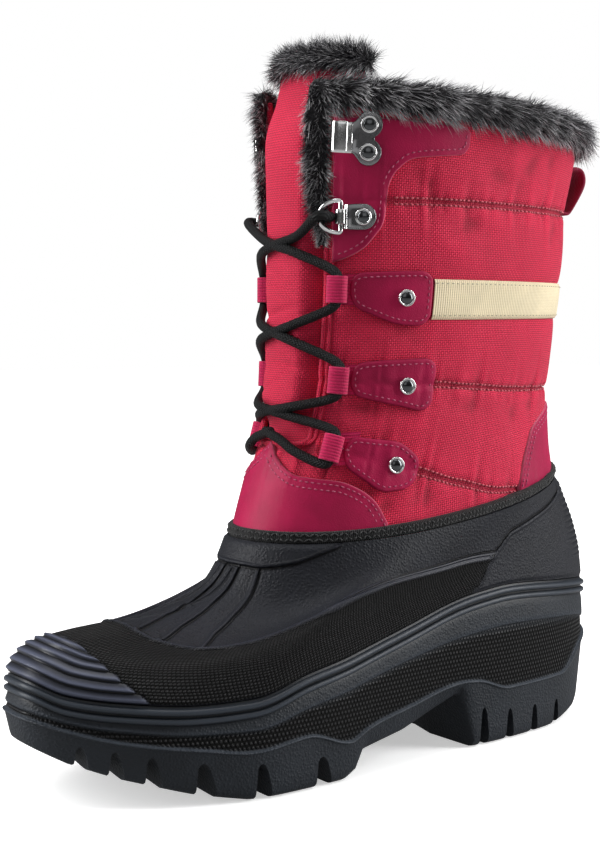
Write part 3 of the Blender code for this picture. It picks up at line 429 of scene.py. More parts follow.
def seat(angle, level, lift, side):
    """Axes at a place on the shaft: towards the throat, up, and away from the surface."""
    turn = angle if side > 0 else 360 - angle + MEDIAL_TURN
    away = normal(shaft_form, turn, level)
    up = unit(shaft_form(turn, min(level + 0.02, 1.0)) - shaft_form(turn, level - 0.02))
    front = unit(np.cross(up, away)) * -side
    up = unit(np.cross(away, front))
    up = up if up[2] > 0 else -up
    return under(turn, level, lift), front, up, away


def tongue_point(angle, level, lift):
    """Point of the tongue: behind the wall at its edges, full in the throat, leaning back at its top."""
    angle, level = np.broadcast_arrays(np.asarray(angle, float), np.asarray(level, float))
    bulge = TONGUE_BULGE * ease(THROAT, THROAT + 13, folded(angle)) * ease(0.305, 0.39, level)
    lean = TONGUE_LEAN * ease(0.90, 1.08, level)
    place = pushed(shaft_form, angle, np.minimum(level, 1.0), bulge - SHAFT_WALL - 0.0012 + lift)
    rise = (shaft_form(angle, 1.0) - shaft_form(angle, 0.9)) * 10 * np.maximum(level - 1.0, 0.0)[..., None]
    return place + rise + stack(0.0, lean, 0.0) + CENTRE


def gap_to(points, line):
    """Distance from each point to the nearest place on a line of points."""
    flat = points.reshape(-1, 3)
    best = np.full(len(flat), 1e9)
    for a, b in zip(line[:-1], line[1:]):
        step = b - a
        t = np.clip(((flat - a) @ step) / max(step @ step, 1e-14), 0, 1)
        best = np.minimum(best, np.linalg.norm(flat - a - t[:, None] * step, axis=1))
    return best.reshape(points.shape[:-1])


def lengths(path):
    """Length run along a path at each of its points."""
    return np.concatenate([[0.0], np.cumsum(np.linalg.norm(np.diff(path, axis=0), axis=1))])


def sampled(marks, run, rows):
    """Rows of numbers along a run, read at other marks on it."""
    return np.stack([np.interp(marks, run, column) for column in rows.T], -1)


def catmull(a, b, c, d, t):
    """Place between b and c on a Catmull-Rom curve."""
    return 0.5 * (2 * b + (c - a) * t + (2 * a - 5 * b + 4 * c - d) * t * t + (3 * b - a - 3 * c + d) * t**3)


def smooth_path(stops, spacing):
    """Points along a Catmull-Rom curve through given stops."""
    stops = [np.asarray(s, float) for s in stops]
    ends = [stops[0] * 2 - stops[1]] + stops + [stops[-1] * 2 - stops[-2]]
    path = []
    for k in range(1, len(ends) - 2):
        a, b, c, d = ends[k - 1:k + 3]
        count = max(1, round(np.linalg.norm(c - b) / spacing))
        path += [catmull(a, b, c, d, s / count) for s in range(count)]
    return np.array(path + [stops[-1]])


def make_piece(name, points, faces, materials, uv=None, marks=None, outward=False):
    """One mesh in metres: uv is a pair for each face corner, marks are named numbers for each point."""
    mesh = bpy.data.meshes.new(name)
    faces = faces.tolist() if isinstance(faces, np.ndarray) else faces
    mesh.from_pydata(np.asarray(points, float).reshape(-1, 3).tolist(), [], faces)
    if uv is not None:
        layer = mesh.uv_layers.new(name="UVMap")
        layer.data.foreach_set("uv", np.asarray(uv, np.float32).ravel())
    add_marks(mesh, marks or {})
    for material in materials:
        mesh.materials.append(material)
    if outward:
        work = bmesh.new()
        work.from_mesh(mesh)
        bmesh.ops.recalc_face_normals(work, faces=work.faces)
        work.to_mesh(mesh)
        work.free()
    item = bpy.data.objects.new(name, mesh)
    bpy.context.scene.collection.objects.link(item)
    return item


def add_marks(mesh, marks):
    """Gives a mesh its marks and smooth faces."""
    for key, values in marks.items():
        layer = mesh.attributes.new(key, "FLOAT", "POINT")
        layer.data.foreach_set("value", np.asarray(values, np.float32).ravel())
    mesh.polygons.foreach_set("use_smooth", [True] * len(mesh.polygons))


def grid_piece(name, points, materials, uv=None, closed=False, marks=None, keep=None, flip=False, outward=False):
    """A skin over a grid of points; a closed grid joins its last column to its first."""
    columns, rows = points.shape[:2]
    i, j = both(np.arange(columns if closed else columns - 1), np.arange(rows - 1))
    i, j = i.ravel(), j.ravel()
    if keep is not None:
        kept = keep[i, j]
        i, j = i[kept], j[kept]
    across = np.stack([i, i, i + 1, i + 1], -1)
    along = np.stack([j, j + 1, j + 1, j], -1)
    if flip:
        across, along = across[:, ::-1], along[:, ::-1]
    faces = (across % columns) * rows + along
    uv = grid_uv(points, closed) if uv is None else uv
    return make_piece(name, points, faces, materials, uv[across, along], marks, outward)


def grid_uv(points, closed=False):
    """Run lengths across and along a grid, in metres."""
    whole = np.concatenate([points, points[:1]], 0) if closed else points
    u = lengths(whole[:, whole.shape[1] // 2])
    v = np.concatenate([[0.0], np.cumsum(np.linalg.norm(np.diff(whole, axis=1), axis=2).mean(0))])
    return np.stack(both(u, v), -1)


def tube_points(path, radius, sides, first=None):
    """Grid of points of a round tube without twist: columns along the path, rows round it."""
    ahead = unit(np.gradient(path, axis=0))
    away = np.array(Vector(ahead[0]).orthogonal()) if first is None else np.asarray(first, float)
    spokes = []
    for way in ahead:
        away = away - way * (away @ way)
        away = away / np.linalg.norm(away)
        spokes.append(away)
    a = np.array(spokes)
    b = np.cross(ahead, a)
    turn = np.linspace(0, 2 * np.pi, sides + 1)[None, :, None]
    radius = np.broadcast_to(radius, (len(path),))[:, None, None]
    return path[:, None] + (a[:, None] * np.cos(turn) + b[:, None] * np.sin(turn)) * radius


def tube_piece(name, path, radius, sides, material):
    """A round tube with softly closed ends."""
    ahead = unit(np.gradient(path, axis=0))
    start = [path[0] - ahead[0] * radius * s for s in (1.0, 0.8, 0.4)]
    end = [path[-1] + ahead[-1] * radius * s for s in (0.4, 0.8, 1.0)]
    whole = np.array(start + list(path) + end)
    size = np.full(len(whole), radius)
    for k, share in enumerate((0.02, 0.6, 0.92)):
        size[[k, -1 - k]] *= share
    return grid_piece(name, tube_points(whole, size, sides), [material], outward=True)


def join(name, items):
    """Joins pieces of the same kind into one mesh."""
    for item in bpy.context.view_layer.objects:
        item.select_set(item in items)
    bpy.context.view_layer.objects.active = items[0]
    with bpy.context.temp_override(active_object=items[0], selected_editable_objects=items):
        bpy.ops.object.join()
    items[0].name = name
    items[0].data.name = name
    return items[0]


def stitches(name, rows, long, wide, high, material):
    """Short rounded threads lying on a surface, all one mesh, their ends marked where they dive in, for painted shade
    there.
    """
    places, ahead, away = [np.concatenate(parts, 0) for parts in zip(*rows)]
    count = len(places)
    across = unit(np.cross(ahead, away))
    around = 5
    spots = [(-0.52, 0.0, -0.5)]
    for share, size in ((-0.34, 0.75), (0.0, 1.0), (0.34, 0.75)):
        for k in range(around):
            turn = 2 * math.pi * k / around + 0.3
            spots.append((share, 0.5 * math.cos(turn) * size, (0.5 + 0.5 * math.sin(turn)) * size - 0.35))
    spots = np.array(spots + [(0.52, 0.0, -0.5)])
    points = (places[:, None] + ahead[:, None] * spots[None, :, :1] * long
              + across[:, None] * spots[None, :, 1:2] * wide + away[:, None] * spots[None, :, 2:] * high)
    quads, tris = [], []
    for k in range(around):
        k2 = (k + 1) % around
        quads += [(r + k, r + k2, r + around + k2, r + around + k) for r in (1, 1 + around)]
        tris += [(0, 1 + k2, 1 + k), (16, 11 + k, 11 + k2)]
    first = (np.arange(count) * len(spots))[:, None, None]
    whole = []
    for group in (np.array(quads), np.array(tris)):
        whole += (group[None] + first).reshape(-1, group.shape[1]).tolist()
    dive = np.tile(np.abs(spots[:, 0]) > 0.3, count).astype(float)
    uv = np.zeros((sum(len(f) for f in whole), 2))
    return make_piece(name, points, whole, [material], uv, {"dive": dive}, outward=True)


def spaced(path, away, pitch, jump=0.006):
    """Places, directions and surface normals at an even pitch along a path that may have breaks."""
    run = lengths(path)
    marks = np.arange(pitch * 0.5, run[-1], pitch)
    place = sampled(marks, run, path)
    norm = unit(sampled(marks, run, away))
    ahead = sampled(marks + pitch * 0.2, run, path) - place
    good = np.linalg.norm(ahead, axis=1) > 1e-6
    for k in np.nonzero(np.diff(run) > jump)[0]:
        good &= (marks <= run[k]) | (marks >= run[k + 1])
    return place[good], unit(ahead[good]), norm[good]


class Net:
    """Adds shader nodes to one tree; every input is a value or another node's socket."""

    def __init__(self, tree):
        self.tree = tree

    def put(self, socket, value):
        if isinstance(value, bpy.types.NodeSocket):
            self.tree.links.new(value, socket)
        else:
            socket.default_value = (*value, 1.0) if socket.type == "RGBA" else value

    def node(self, kind, settings=None, **inputs):
        item = self.tree.nodes.new("ShaderNode" + kind)
        for key, value in (settings or {}).items():
            setattr(item, key, value)
        for key, value in inputs.items():
            self.put(item.inputs[key.replace("_", " ")], value)
        return item

    def calc(self, operation, *values, clamp=False):
        item = self.node("Math", {"operation": operation, "use_clamp": clamp})
        for socket, value in zip(item.inputs, values):
            self.put(socket, value)
        return item.outputs[0]

    def times(self, *values):
        return self.calc("MULTIPLY", *values)

    def plus(self, *values):
        return self.calc("ADD", *values)

    def less(self, *values):
        return self.calc("SUBTRACT", *values)

    def blend(self, factor, a, b):
        item = self.node("Mix", {"data_type": "RGBA"})
        for k, value in ((0, factor), (6, a), (7, b)):
            self.put(item.inputs[k], value)
        return item.outputs[2]

    def spread(self, value, low, high, start=0.0, end=1.0):
        """A number moved from one range to another, with soft ends."""
        return self.node("MapRange", {"interpolation_type": "SMOOTHSTEP"}, Value=value, From_Min=low,
                         From_Max=high, To_Min=start, To_Max=end).outputs[0]

    def noise(self, spot, scale, detail=2.0, rough=0.5):
        return self.node("TexNoise", Vector=spot, Scale=scale, Detail=detail, Roughness=rough).outputs[0]

    def plane(self, vector, cell=1.0):
        """The first two numbers of a vector, counted in cells."""
        scaled = self.node("VectorMath", {"operation": "SCALE"}, Vector=vector, Scale=self.calc("DIVIDE", 1.0, cell))
        return self.node("SeparateXYZ", Vector=scaled.outputs[0]).outputs[:2]

    def mark(self, name):
        return self.node("Attribute", {"attribute_name": name}).outputs["Fac"]

    def group(self, build, **inputs):
        """Places a shared node group, built the first time; returns its outputs."""
        item = self.tree.nodes.new("ShaderNodeGroup")
        item.node_tree = bpy.data.node_groups.get(build.__name__) or build(build.__name__)
        for key, value in inputs.items():
            self.put(item.inputs[key], value)
        return item.outputs

    def close(self, **outputs):
        """Ends a node group with its named outputs."""
        for label in outputs:
            self.tree.interface.new_socket(name=label, in_out="OUTPUT", socket_type="NodeSocketFloat")
        end = self.tree.nodes.new("NodeGroupOutput")
        for label, value in outputs.items():
            self.put(end.inputs[label], value)
        return self.tree

    def feed(self, colour, roughness, **constants):
        """Gives the shader its colour and roughness, and its constants on its own sockets."""
        shader = self.tree.nodes["Principled BSDF"]
        for label, value in {"Base_Color": colour, "Roughness": roughness, **constants}.items():
            self.put(shader.inputs[label.replace("_", " ")], value)

    def bumped(self, *heights):
        """Feeds the shader's normal from heights of 0 to 1, each with its depth in metres."""
        last = None
        for value, depth in heights:
            item = self.node("Bump", Height=value, Distance=depth, Strength=1.0)
            if last is not None:
                self.put(item.inputs["Normal"], last)
            last = item.outputs[0]
        self.put(self.tree.nodes["Principled BSDF"].inputs["Normal"], last)


def new_group(name, **numbers):
    """A shader node group with a vector and numbers going in; returns its net and its inner sockets."""
    group = bpy.data.node_groups.new(name, "ShaderNodeTree")
    group.interface.new_socket(name="Vector", in_out="INPUT", socket_type="NodeSocketVector")
    for label, value in numbers.items():
        socket = group.interface.new_socket(name=label, in_out="INPUT", socket_type="NodeSocketFloat")
        socket.default_value = value
    return Net(group), group.nodes.new("NodeGroupInput").outputs


def plain_weave(name):
    """Plain woven threads: height, a mask that is 1 on the upper threads, and each thread's tone."""
    net, start = new_group(name, Cell=0.0011, Unevenness=0.25)
    spot = start["Vector"]
    shift = net.times(net.less(net.noise(spot, 320.0, 1.0), 0.5), start["Unevenness"])
    waves = []
    for way in net.plane(spot, start["Cell"]):
        waves.append(net.calc("SINE", net.times(net.plus(way, shift), math.pi)))
    upper = net.spread(net.times(*waves), -0.25, 0.25)
    warp, weft = [net.calc("ABSOLUTE", wave) for wave in waves]
    mixed = net.calc("MULTIPLY_ADD", net.less(warp, weft), upper, weft)
    fibres = net.node("Mapping", Vector=spot, Scale=(60.0, 900.0, 1.0)).outputs[0]
    return net.close(Height=net.calc("POWER", mixed, 0.7), Upper=upper, Tone=net.noise(fibres, 1.0))


def pebble_grain(name):
    """Fine pebbled grain of leather or moulded rubber, and a broad mottle."""
    net, start = new_group(name, Scale=900.0)
    spot, size = start["Vector"], start["Scale"]
    cells = net.node("TexVoronoi", Vector=spot, Scale=size).outputs["Distance"]
    pebbles = net.times(net.spread(cells, 0.1, 0.7, 1.0, 0.0), 0.7)
    fine = net.times(net.noise(spot, net.times(size, 1.7), 3.0), 0.5)
    return net.close(Height=net.plus(pebbles, fine), Mottle=net.noise(spot, 42.0, 4.0, 0.6))


def knurl_dots(name):
    """Rows of raised dots, from round to square."""
    net, start = new_group(name, Pitch=0.002, Squareness=2.0)
    power = start["Squareness"]
    x, y = net.plane(start["Vector"], start["Pitch"])
    half = net.times(net.calc("MODULO", net.calc("FLOOR", y), 2.0), 0.5)
    terms = []
    for value in (net.plus(x, half), y):
        off = net.calc("ABSOLUTE", net.less(net.calc("FRACT", value), 0.5))
        terms.append(net.calc("POWER", off, power))
    away = net.calc("POWER", net.plus(*terms), net.calc("DIVIDE", 1.0, power))
    return net.close(Height=net.spread(away, 0.16, 0.46, 1.0, 0.0))


def webbing_ribs(name):
    """Fine raised ribs of woven webbing, with the weft crossing them, and a mask of the valleys between the ribs for
    painted shade.
    """
    net, start = new_group(name, Pitch=0.0012)
    turn = net.calc("DIVIDE", math.pi, start["Pitch"])
    x, y = net.plane(start["Vector"])
    rib = net.calc("ABSOLUTE", net.calc("SINE", net.times(x, turn)))
    cross = net.calc("ABSOLUTE", net.calc("SINE", net.times(y, net.times(turn, 1.6))))
    return net.close(Height=net.plus(net.times(rib, 0.75), net.times(cross, 0.25)),
                     Valley=net.spread(rib, 0.0, 0.55, 1.0, 0.0))


def rubbed_edge(name):
    """Edges: a mask from a distance to the edge, broken up by noise, for edge tints that stand for wear and for a
    painted highlight.
    """
    net, start = new_group(name, Distance=1.0, Width=0.5)
    width = net.times(start["Width"], net.plus(net.noise(start["Vector"], 700.0), 0.5))
    return net.close(Mask=net.calc("SUBTRACT", 1.0, net.calc("DIVIDE", start["Distance"], width), clamp=True))


def shade(colour, share):
    return tuple(min(1.0, c * share) for c in colour)


def looks():
    return bpy.context.scene.snow_boot


def finish(name, fill, *values):
    """The finish of that name, filled in by its function the first time."""
    material = bpy.data.materials.get(name)
    if material is None:
        material = bpy.data.materials.new(name)
        material.use_nodes = True
        net = Net(material.node_tree)
        coords = net.node("TexCoord").outputs
        fill(net, coords["Object"], coords["UV"], *values)
    return material


def nylon(net, spot, uv):
    look = looks()
    colour = tuple(look.cloth_colour)
    weave = net.group(plain_weave, Vector=uv, Cell=look.weave_cell, Unevenness=0.22)
    broad = net.group(pebble_grain, Vector=spot, Scale=900.0)
    # the mark paints shade in the cloth's creases (above 0) and a highlight on its ridges (below 0)
    painted_valley_shading = net.mark("painted_valley_shading")
    # painted shade in the gaps between threads, their dark varied by each thread's tone; painted highlights on the
    # thread crowns and on the upper threads; then painted shade in the cloth's creases and painted highlight on its
    # ridges; the broad mottle varies at random
    tone = net.blend(net.spread(weave["Tone"], 0.3, 0.7), shade(colour, 0.06), shade(colour, 0.26))
    for factor, share in ((net.spread(weave["Height"], 0.25, 0.95), 1.35), (net.times(weave["Upper"], 0.45), 1.6),
                          (net.spread(painted_valley_shading, 0.0, 1.0, 0.0, 0.46), 0.25),
                          (net.spread(net.times(painted_valley_shading, -1.0), 0.0, 1.0, 0.0, 0.45), 1.5),
                          (net.spread(broad["Mottle"], 0.3, 0.7, 0.0, 0.22), 0.62)):
        tone = net.blend(factor, tone, shade(colour, share))
    net.feed(tone, net.spread(weave["Height"], 0.0, 1.0, 0.80, 0.58), Sheen_Weight=0.10, Sheen_Roughness=0.5,
             Specular_IOR_Level=0.16)
    net.bumped((broad["Mottle"], 0.0009), (weave["Height"], 0.00034))


def leather(net, spot, uv, rim):
    """Grained leather with its cut edge tinted in the colour of its rim; a pale rim is partly the raw edge's own
    colour and partly a painted highlight where the edge catches light.
    """
    colour = tuple(looks().leather_colour)
    grain = net.group(pebble_grain, Vector=spot, Scale=1500.0)
    edge_tint = net.group(rubbed_edge, Vector=spot, Distance=net.mark("edge"), Width=0.55)
    tone = net.blend(net.spread(grain["Mottle"], 0.3, 0.7), shade(colour, 0.84), shade(colour, 1.12))
    tone = net.blend(net.times(edge_tint["Mask"], 0.85), tone, rim)
    net.feed(tone, net.spread(grain["Height"], 0.2, 0.9, 0.56, 0.46), Specular_IOR_Level=0.22)
    net.bumped((grain["Mottle"], 0.0004), (grain["Height"], 0.00007))


def rubber(net, spot, uv, colour, pitch, squareness):
    """Moulded rubber with pebbled grain and knurling where its marks say, with painted highlights on its beads, step
    rims, rib faces, knurl tips and the whole toe cap, and painted shade in its grooves, crease lines, rib gaps and
    knurl pits.
    """
    grain = net.group(pebble_grain, Vector=spot, Scale=820.0)
    dots = net.group(knurl_dots, Vector=uv, Pitch=pitch, Squareness=squareness)["Height"]
    black = tuple(looks().knurl_colour)
    knurl, plain, cap = net.mark("knurl"), net.mark("plain"), net.mark("cap")
    # millimetres from the nearest step; a piece without the mark is far from any
    step = net.less(net.mark("step"), 8.0)
    # line is painted shade in a thin crease just before each step; rim is a painted highlight on the rim just beyond
    # it
    line = net.times(net.spread(step, -1.05, -0.50), net.spread(step, -0.20, 0.10, 1.0, 0.0))
    rim = net.times(net.spread(step, 0.0, 0.40), net.spread(step, 0.9, 2.0, 1.0, 0.0))
    # the toe ribs: gap marks painted shadow under each board's lower edge, and the mask below it a painted highlight
    # on each board's face
    board = net.calc("FRACT", net.mark("board"))
    gap = net.times(cap, net.calc("MAXIMUM", net.spread(board, 0.80, 0.96), net.spread(board, 0.0, 0.10, 1.0, 0.0)))
    crest_highlight = net.times(net.spread(board, 0.08, 0.22), net.spread(board, 0.25, 0.75, 1.0, 0.0))
    tone = net.blend(net.spread(grain["Mottle"], 0.32, 0.68), shade(colour, 0.86), shade(colour, 1.16))
    # painted light and shade: a painted highlight on raised beads and lips, painted shade in the grooves beside them,
    # then painted shade in the crease lines, painted highlights on the step rims, painted shadow in the rib gaps and
    # painted highlights on the rib faces
    for mask, part, share in ((net.mark("rise"), 0.60, 3.4), (net.mark("dark"), 0.85, 0.12), (rim, 0.35, 2.0),
                              (line, 0.92, 0.08), (gap, 0.9, 0.10), (net.times(crest_highlight, cap), 0.5, 3.2)):
        tone = net.blend(net.calc("MULTIPLY", mask, part, clamp=True), tone, shade(colour, share))
    # painted shade in the knurl's pits and painted highlights on its dot tips
    tips = net.blend(net.spread(dots, 0.25, 0.95), shade(black, 0.05), shade(black, 3.8))
    tone = net.blend(knurl, tone, tips)
    # the whole toe cap painted lighter as if strongly lit, brightest on the rib faces, then painted shadow again in
    # the rib gaps
    tone = net.blend(net.times(cap, 0.6), tone, net.blend(crest_highlight, shade(colour, 3.0), shade(colour, 13.0)))
    tone = net.blend(net.times(gap, 0.9), tone, shade(colour, 0.06))
    rough = net.blend(knurl, net.blend(plain, (0.56,) * 3, (0.40,) * 3), net.blend(dots, (0.95,) * 3, (0.34,) * 3))
    net.feed(tone, rough, Specular_IOR_Level=0.26)
    quiet = net.less(1.0, net.calc("MAXIMUM", knurl, net.times(plain, 0.85)))
    net.bumped((net.times(grain["Height"], quiet), 0.00022), (net.times(dots, knurl), 0.0014),
               (net.less(rim, line), 0.0008))


def webbing(net, spot, uv, colour, pitch, painted_valley_shading):
    ribs = net.group(webbing_ribs, Vector=uv, Pitch=pitch)
    broad = net.group(pebble_grain, Vector=spot, Scale=900.0)
    tone = net.blend(net.spread(broad["Mottle"], 0.3, 0.7), shade(colour, 0.9), shade(colour, 1.08))
    # painted shade in the valleys between the ribs, down to the given share of the colour
    tone = net.blend(net.times(ribs["Valley"], 0.75), tone, shade(colour, painted_valley_shading))
    net.feed(tone, 0.78, Sheen_Weight=0.15, Specular_IOR_Level=0.25)
    net.bumped((ribs["Height"], 0.00026))


def metal(net, spot, uv, colour, roughness):
    broad = net.group(pebble_grain, Vector=spot, Scale=2400.0)
    tone = net.blend(net.spread(broad["Mottle"], 0.35, 0.65), shade(colour, 0.92), colour)
    net.feed(tone, net.spread(broad["Height"], 0.2, 0.9, roughness, roughness * 1.5), Metallic=1.0)
    net.bumped((broad["Mottle"], 0.00010))


def metals():
    """The finish of bright rims, and a darker copy of the metal for the domes within them, a painted dark reflection.
    """
    return [finish("bright_metal_face", metal, (0.80, 0.80, 0.80), 0.12),
            finish("dome_metal_painted_dark", metal, (0.11, 0.115, 0.12), 0.10)]


def sewing(net, spot, uv, colour):
    """Twisted thread, with painted shade where its ends dive in."""
    twist = net.noise(spot, 2600.0)
    tone = net.blend(net.spread(twist, 0.35, 0.65), shade(colour, 0.78), shade(colour, 1.15))
    tone = net.blend(net.times(net.mark("dive"), 0.65), tone, shade(colour, 0.16))
    net.feed(tone, 0.55, Sheen_Weight=0.2)
    net.bumped((twist, 0.00012))


def braid(net, spot, uv):
    colour = tuple(looks().lace_colour)
    along, around = net.plane(uv)
    along = net.times(along, math.pi / 0.0015)
    around = net.times(around, math.pi / 0.00165)
    strands = [net.calc("SINE", net.plus(along, around)), net.calc("SINE", net.less(along, around))]
    plait = net.calc("ABSOLUTE", net.times(*strands))
    # painted shade between the plaited strands and painted highlight on their crowns, following the plait's relief
    net.feed(net.blend(plait, shade(colour, 0.35), shade(colour, 2.4)), 0.58, Specular_IOR_Level=0.22)
    net.bumped((net.calc("POWER", plait, 0.6), 0.00040))


def fur_hair(net, spot, uv):
    dark, light = tuple(looks().fur_colour), tuple(looks().fur_tip_colour)
    tip = net.mark("tip")
    middle = net.blend(net.spread(tip, 0.05, 0.55), shade(dark, 0.35), shade(dark, 1.5))
    tone = net.blend(net.times(net.spread(tip, 0.22, 0.85), net.mark("pale")), middle, light)
    net.feed(tone, 0.5, Specular_IOR_Level=0.35)


def pile(net, spot, uv, share=1.0):
    """The dense pile below the hairs, the lining and the felt."""
    dark = shade(tuple(looks().fur_colour), share)
    tuft = net.noise(spot, 950.0, 4.0, 0.7)
    tone = net.blend(net.spread(tuft, 0.35, 0.7), shade(dark, 0.25), shade(dark, 1.5))
    net.feed(tone, 0.95, Sheen_Weight=0.3, Specular_IOR_Level=0.1)
    net.bumped((net.noise(spot, 160.0), 0.0022), (tuft, 0.0009))


def settle(item, nodes=()):
    """Ties a finished piece to the boot's one body, and hides the solids that it stands for."""
    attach(item, "root")
    if nodes:
        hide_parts(*nodes)
    return item


def build_outsole():
    count = 420
    angles = np.arange(count) * 360.0 / count
    y = outline(angles)[:, 1]
    ground, foot, top, line = [height(column, y) for column in (UNDERSIDE, KNURL_FOOT, KNURL_TOP, FEATHER)]
    low = ground + 0.0034
    # outward distance and height of each row, from inside the underside up to the footbed
    rows = [(out, ground + off) for out, off in ((-0.0300, 0.0), (-0.0070, 0.0), (-0.0040, 0.0001),
                                                 (-0.0024, 0.0006), (-0.0010, 0.0018), (-0.0004, 0.0034))]
    rows += [(mix(-0.0004, 0.0016, share), mix(low, np.maximum(foot - 0.0016, low), share))
             for share in (0.25, 0.5, 0.75, 0.92)]
    rows += [(out, np.maximum(foot + off, low)) for out, off in (
        (0.0017, -0.0012), (0.0023, -0.0008), (0.0025, -0.0004), (0.0023, 0.0), (0.0014, 0.0004), (0.0009, 0.0009))]
    rows += [(0.0009 - 0.0003 * share, mix(foot + 0.0009, top - 0.0008, share)) for share in (0.12, 0.3, 0.5, 0.7, 0.88)]
    rows += [(out, top + off) for out, off in ((0.0005, -0.0006), (0.0011, -0.0001), (0.0014, 0.0005))]
    rows += [(mix(0.0015, 0.0008, share), mix(top + 0.0005, line - 0.0088, share)) for share in (0.3, 0.6, 0.85)]
    for centre in SOLE_BEADS:
        for turn in (-85, -62, -38, -14, 14, 38, 62, 85):
            turn = math.radians(turn)
            rows.append((0.0002 + 0.0018 * math.cos(turn), line + centre + 0.0015 * math.sin(turn)))
    rows += [(out, line - 0.0001) for out in (0.0, -0.0020, -0.0050)]
    rows.append((-FOOTBED_INSET, height(FOOTBED, y)))
    points = np.stack([np.concatenate([outline(angles, out), tall[:, None]], 1) for out, tall in rows], 1)
    face = finish("moulded_sole_rubber", rubber, tuple(looks().sole_colour), 0.00195, 2.0)
    item = grid_piece("outsole_rubber", points + CENTRE, [face], closed=True)
    work = bmesh.new()
    work.from_mesh(item.data)
    work.verts.ensure_lookup_table()
    for row in (0, len(rows) - 1):
        loop = [work.verts[k * len(rows) + row] for k in range(count)]
        for k in range(count // 2):
            corners = (loop[k], loop[k + 1], loop[(count - k - 1) % count], loop[(count - k) % count])
            work.faces.new(list(dict.fromkeys(corners)))
    bmesh.ops.recalc_face_normals(work, faces=work.faces)
    work.to_mesh(item.data)
    work.free()
    cut_tread(item)
    dress_sole(item)
    settle(item, ["outsole"])


def cut_tread(item):
    """Fin-shaped grooves between the lugs: upright at the toe side, curved at the heel side."""
    points = []
    faces = []
    for share, long in TREAD_GROOVES:
        start = share * SOLE_LENGTH - long * 0.5
        roof = float(height(GROOVE_ROOF, share * SOLE_LENGTH)) + (0.0042 if share < 0 else 0.0008)
        turn = math.degrees(math.acos(2 * share))
        fin = [(0.0, -0.02)] + [(along * long, roof - drop) for along, drop in FIN_ROWS] + [(1.12 * long, -0.02)]
        count = len(fin)
        for side in (1, -1):
            edge = float(outline(turn * side)[0])
            base = len(points)
            for x in (edge * 0.42, edge * 1.30):
                points += [(x, start + a, b) for a, b in fin]
            faces.append(list(range(base, base + count)))
            faces.append(list(range(base + 2 * count - 1, base + count - 1, -1)))
            for k in range(count):
                k2 = (k + 1) % count
                faces.append([base + k, base + k + count, base + k2 + count, base + k2])
    half, span = 0.003, 0.17 * BALL_WIDTH
    for share in (-0.335, -0.260, -0.170, 0.235, 0.350):
        y = share * SOLE_LENGTH
        base = len(points)
        for z in (-0.02, float(height(UNDERSIDE, y)) + 0.005):
            points += [(-span, y - half, z), (span, y - half, z), (span, y + half, z), (-span, y + half, z)]
        faces += [[base + k for k in f] for f in ((0, 3, 2, 1), (4, 5, 6, 7), (0, 1, 5, 4), (1, 2, 6, 5),
                                                  (2, 3, 7, 6), (3, 0, 4, 7))]
    cutter = make_piece("tread_cutter", np.array(points) + CENTRE, faces, [item.data.materials[0]], outward=True)
    cut = item.modifiers.new("tread", "BOOLEAN")
    cut.operation = "DIFFERENCE"
    cut.solver = "EXACT"
    cut.object = cutter
    mesh = bpy.data.meshes.new_from_object(item.evaluated_get(bpy.context.evaluated_depsgraph_get()))
    item.modifiers.clear()
    old = item.data
    item.data = mesh
    bpy.data.meshes.remove(old)
    mesh.name = item.name
    bpy.data.objects.remove(cutter)
    work = bmesh.new()
    work.from_mesh(mesh)
    bmesh.ops.remove_doubles(work, verts=work.verts, dist=0.00002)
    bmesh.ops.triangulate(work, faces=[f for f in work.faces if len(f.verts) > 4])
    work.to_mesh(mesh)
    work.free()


def dress_sole(item):
    """Coordinates and marks of the outsole from where each of its points lies."""
    mesh = item.data
    spots = np.empty(len(mesh.vertices) * 3, np.float32)
    mesh.vertices.foreach_get("co", spots)
    spots = spots.reshape(-1, 3) - CENTRE
    y, z = spots[:, 1], spots[:, 2]
    turn = np.degrees(np.arccos(np.clip(2 * y / SOLE_LENGTH, -1, 1)))
    plan = outline(turn * np.where(spots[:, 0] >= 0, 1.0, -1.0))
    wall = np.linalg.norm(spots[:, :2], axis=1) - np.linalg.norm(plan, axis=1) > -0.0045
    foot, top, line = [z - height(column, y) for column in (KNURL_FOOT, KNURL_TOP, FEATHER)]
    knurl = ease(0.0002, 0.0011, foot) * (1 - ease(-0.0012, -0.0002, top)) * wall
    # rise paints a highlight on the two beads and on the lips at the knurled band's foot and top
    rise = sum(bump(line - centre, 0.0010) for centre in SOLE_BEADS) + bump(foot, 0.0007) * 0.8
    rise += ease(0.0, 0.0006, top) * (1 - ease(0.0006, 0.0016, top)) * 0.6
    # dark paints shade in the grooves beside the beads and at the join with the shell
    dark = bump(line + 0.0042, 0.0006) + bump(line + 0.0080, 0.0006) + bump(line, 0.0005)
    add_marks(mesh, {"knurl": knurl * (1 - 0.2 * ease(0.452, 0.492, y / SOLE_LENGTH)), "rise": rise * wall,
                     "plain": ease(-0.0092, -0.0084, line), "dark": np.clip(dark, 0, 1) * wall})
    # run length round the sole from the toe
    turns = np.linspace(0, 180, 361)
    run = lengths(outline(turns))
    arc = np.interp(turn, turns, run[-1] - run)
    corners = np.empty(len(mesh.loops), np.int32)
    mesh.loops.foreach_get("vertex_index", corners)
    sides = np.empty(len(mesh.loops), float)
    for face in mesh.polygons:
        sides[face.loop_start:face.loop_start + face.loop_total] = 1.0 if face.center.x >= 0 else -1.0
    uv = np.stack([arc[corners] * sides, z[corners]], -1).astype(np.float32)
    mesh.uv_layers[0].data.foreach_set("uv", uv.ravel())
    mesh.set_sharp_from_angle(angle=math.radians(38))


def shell_line(rows, side=1, count=60):
    """A line on the shell through listed angles and levels."""
    rows = np.array(rows, float)
    angle, level = sampled(np.linspace(0, len(rows) - 1, count), np.arange(len(rows)), rows).T
    return shell_form(angle if side > 0 else 360 - angle, level)


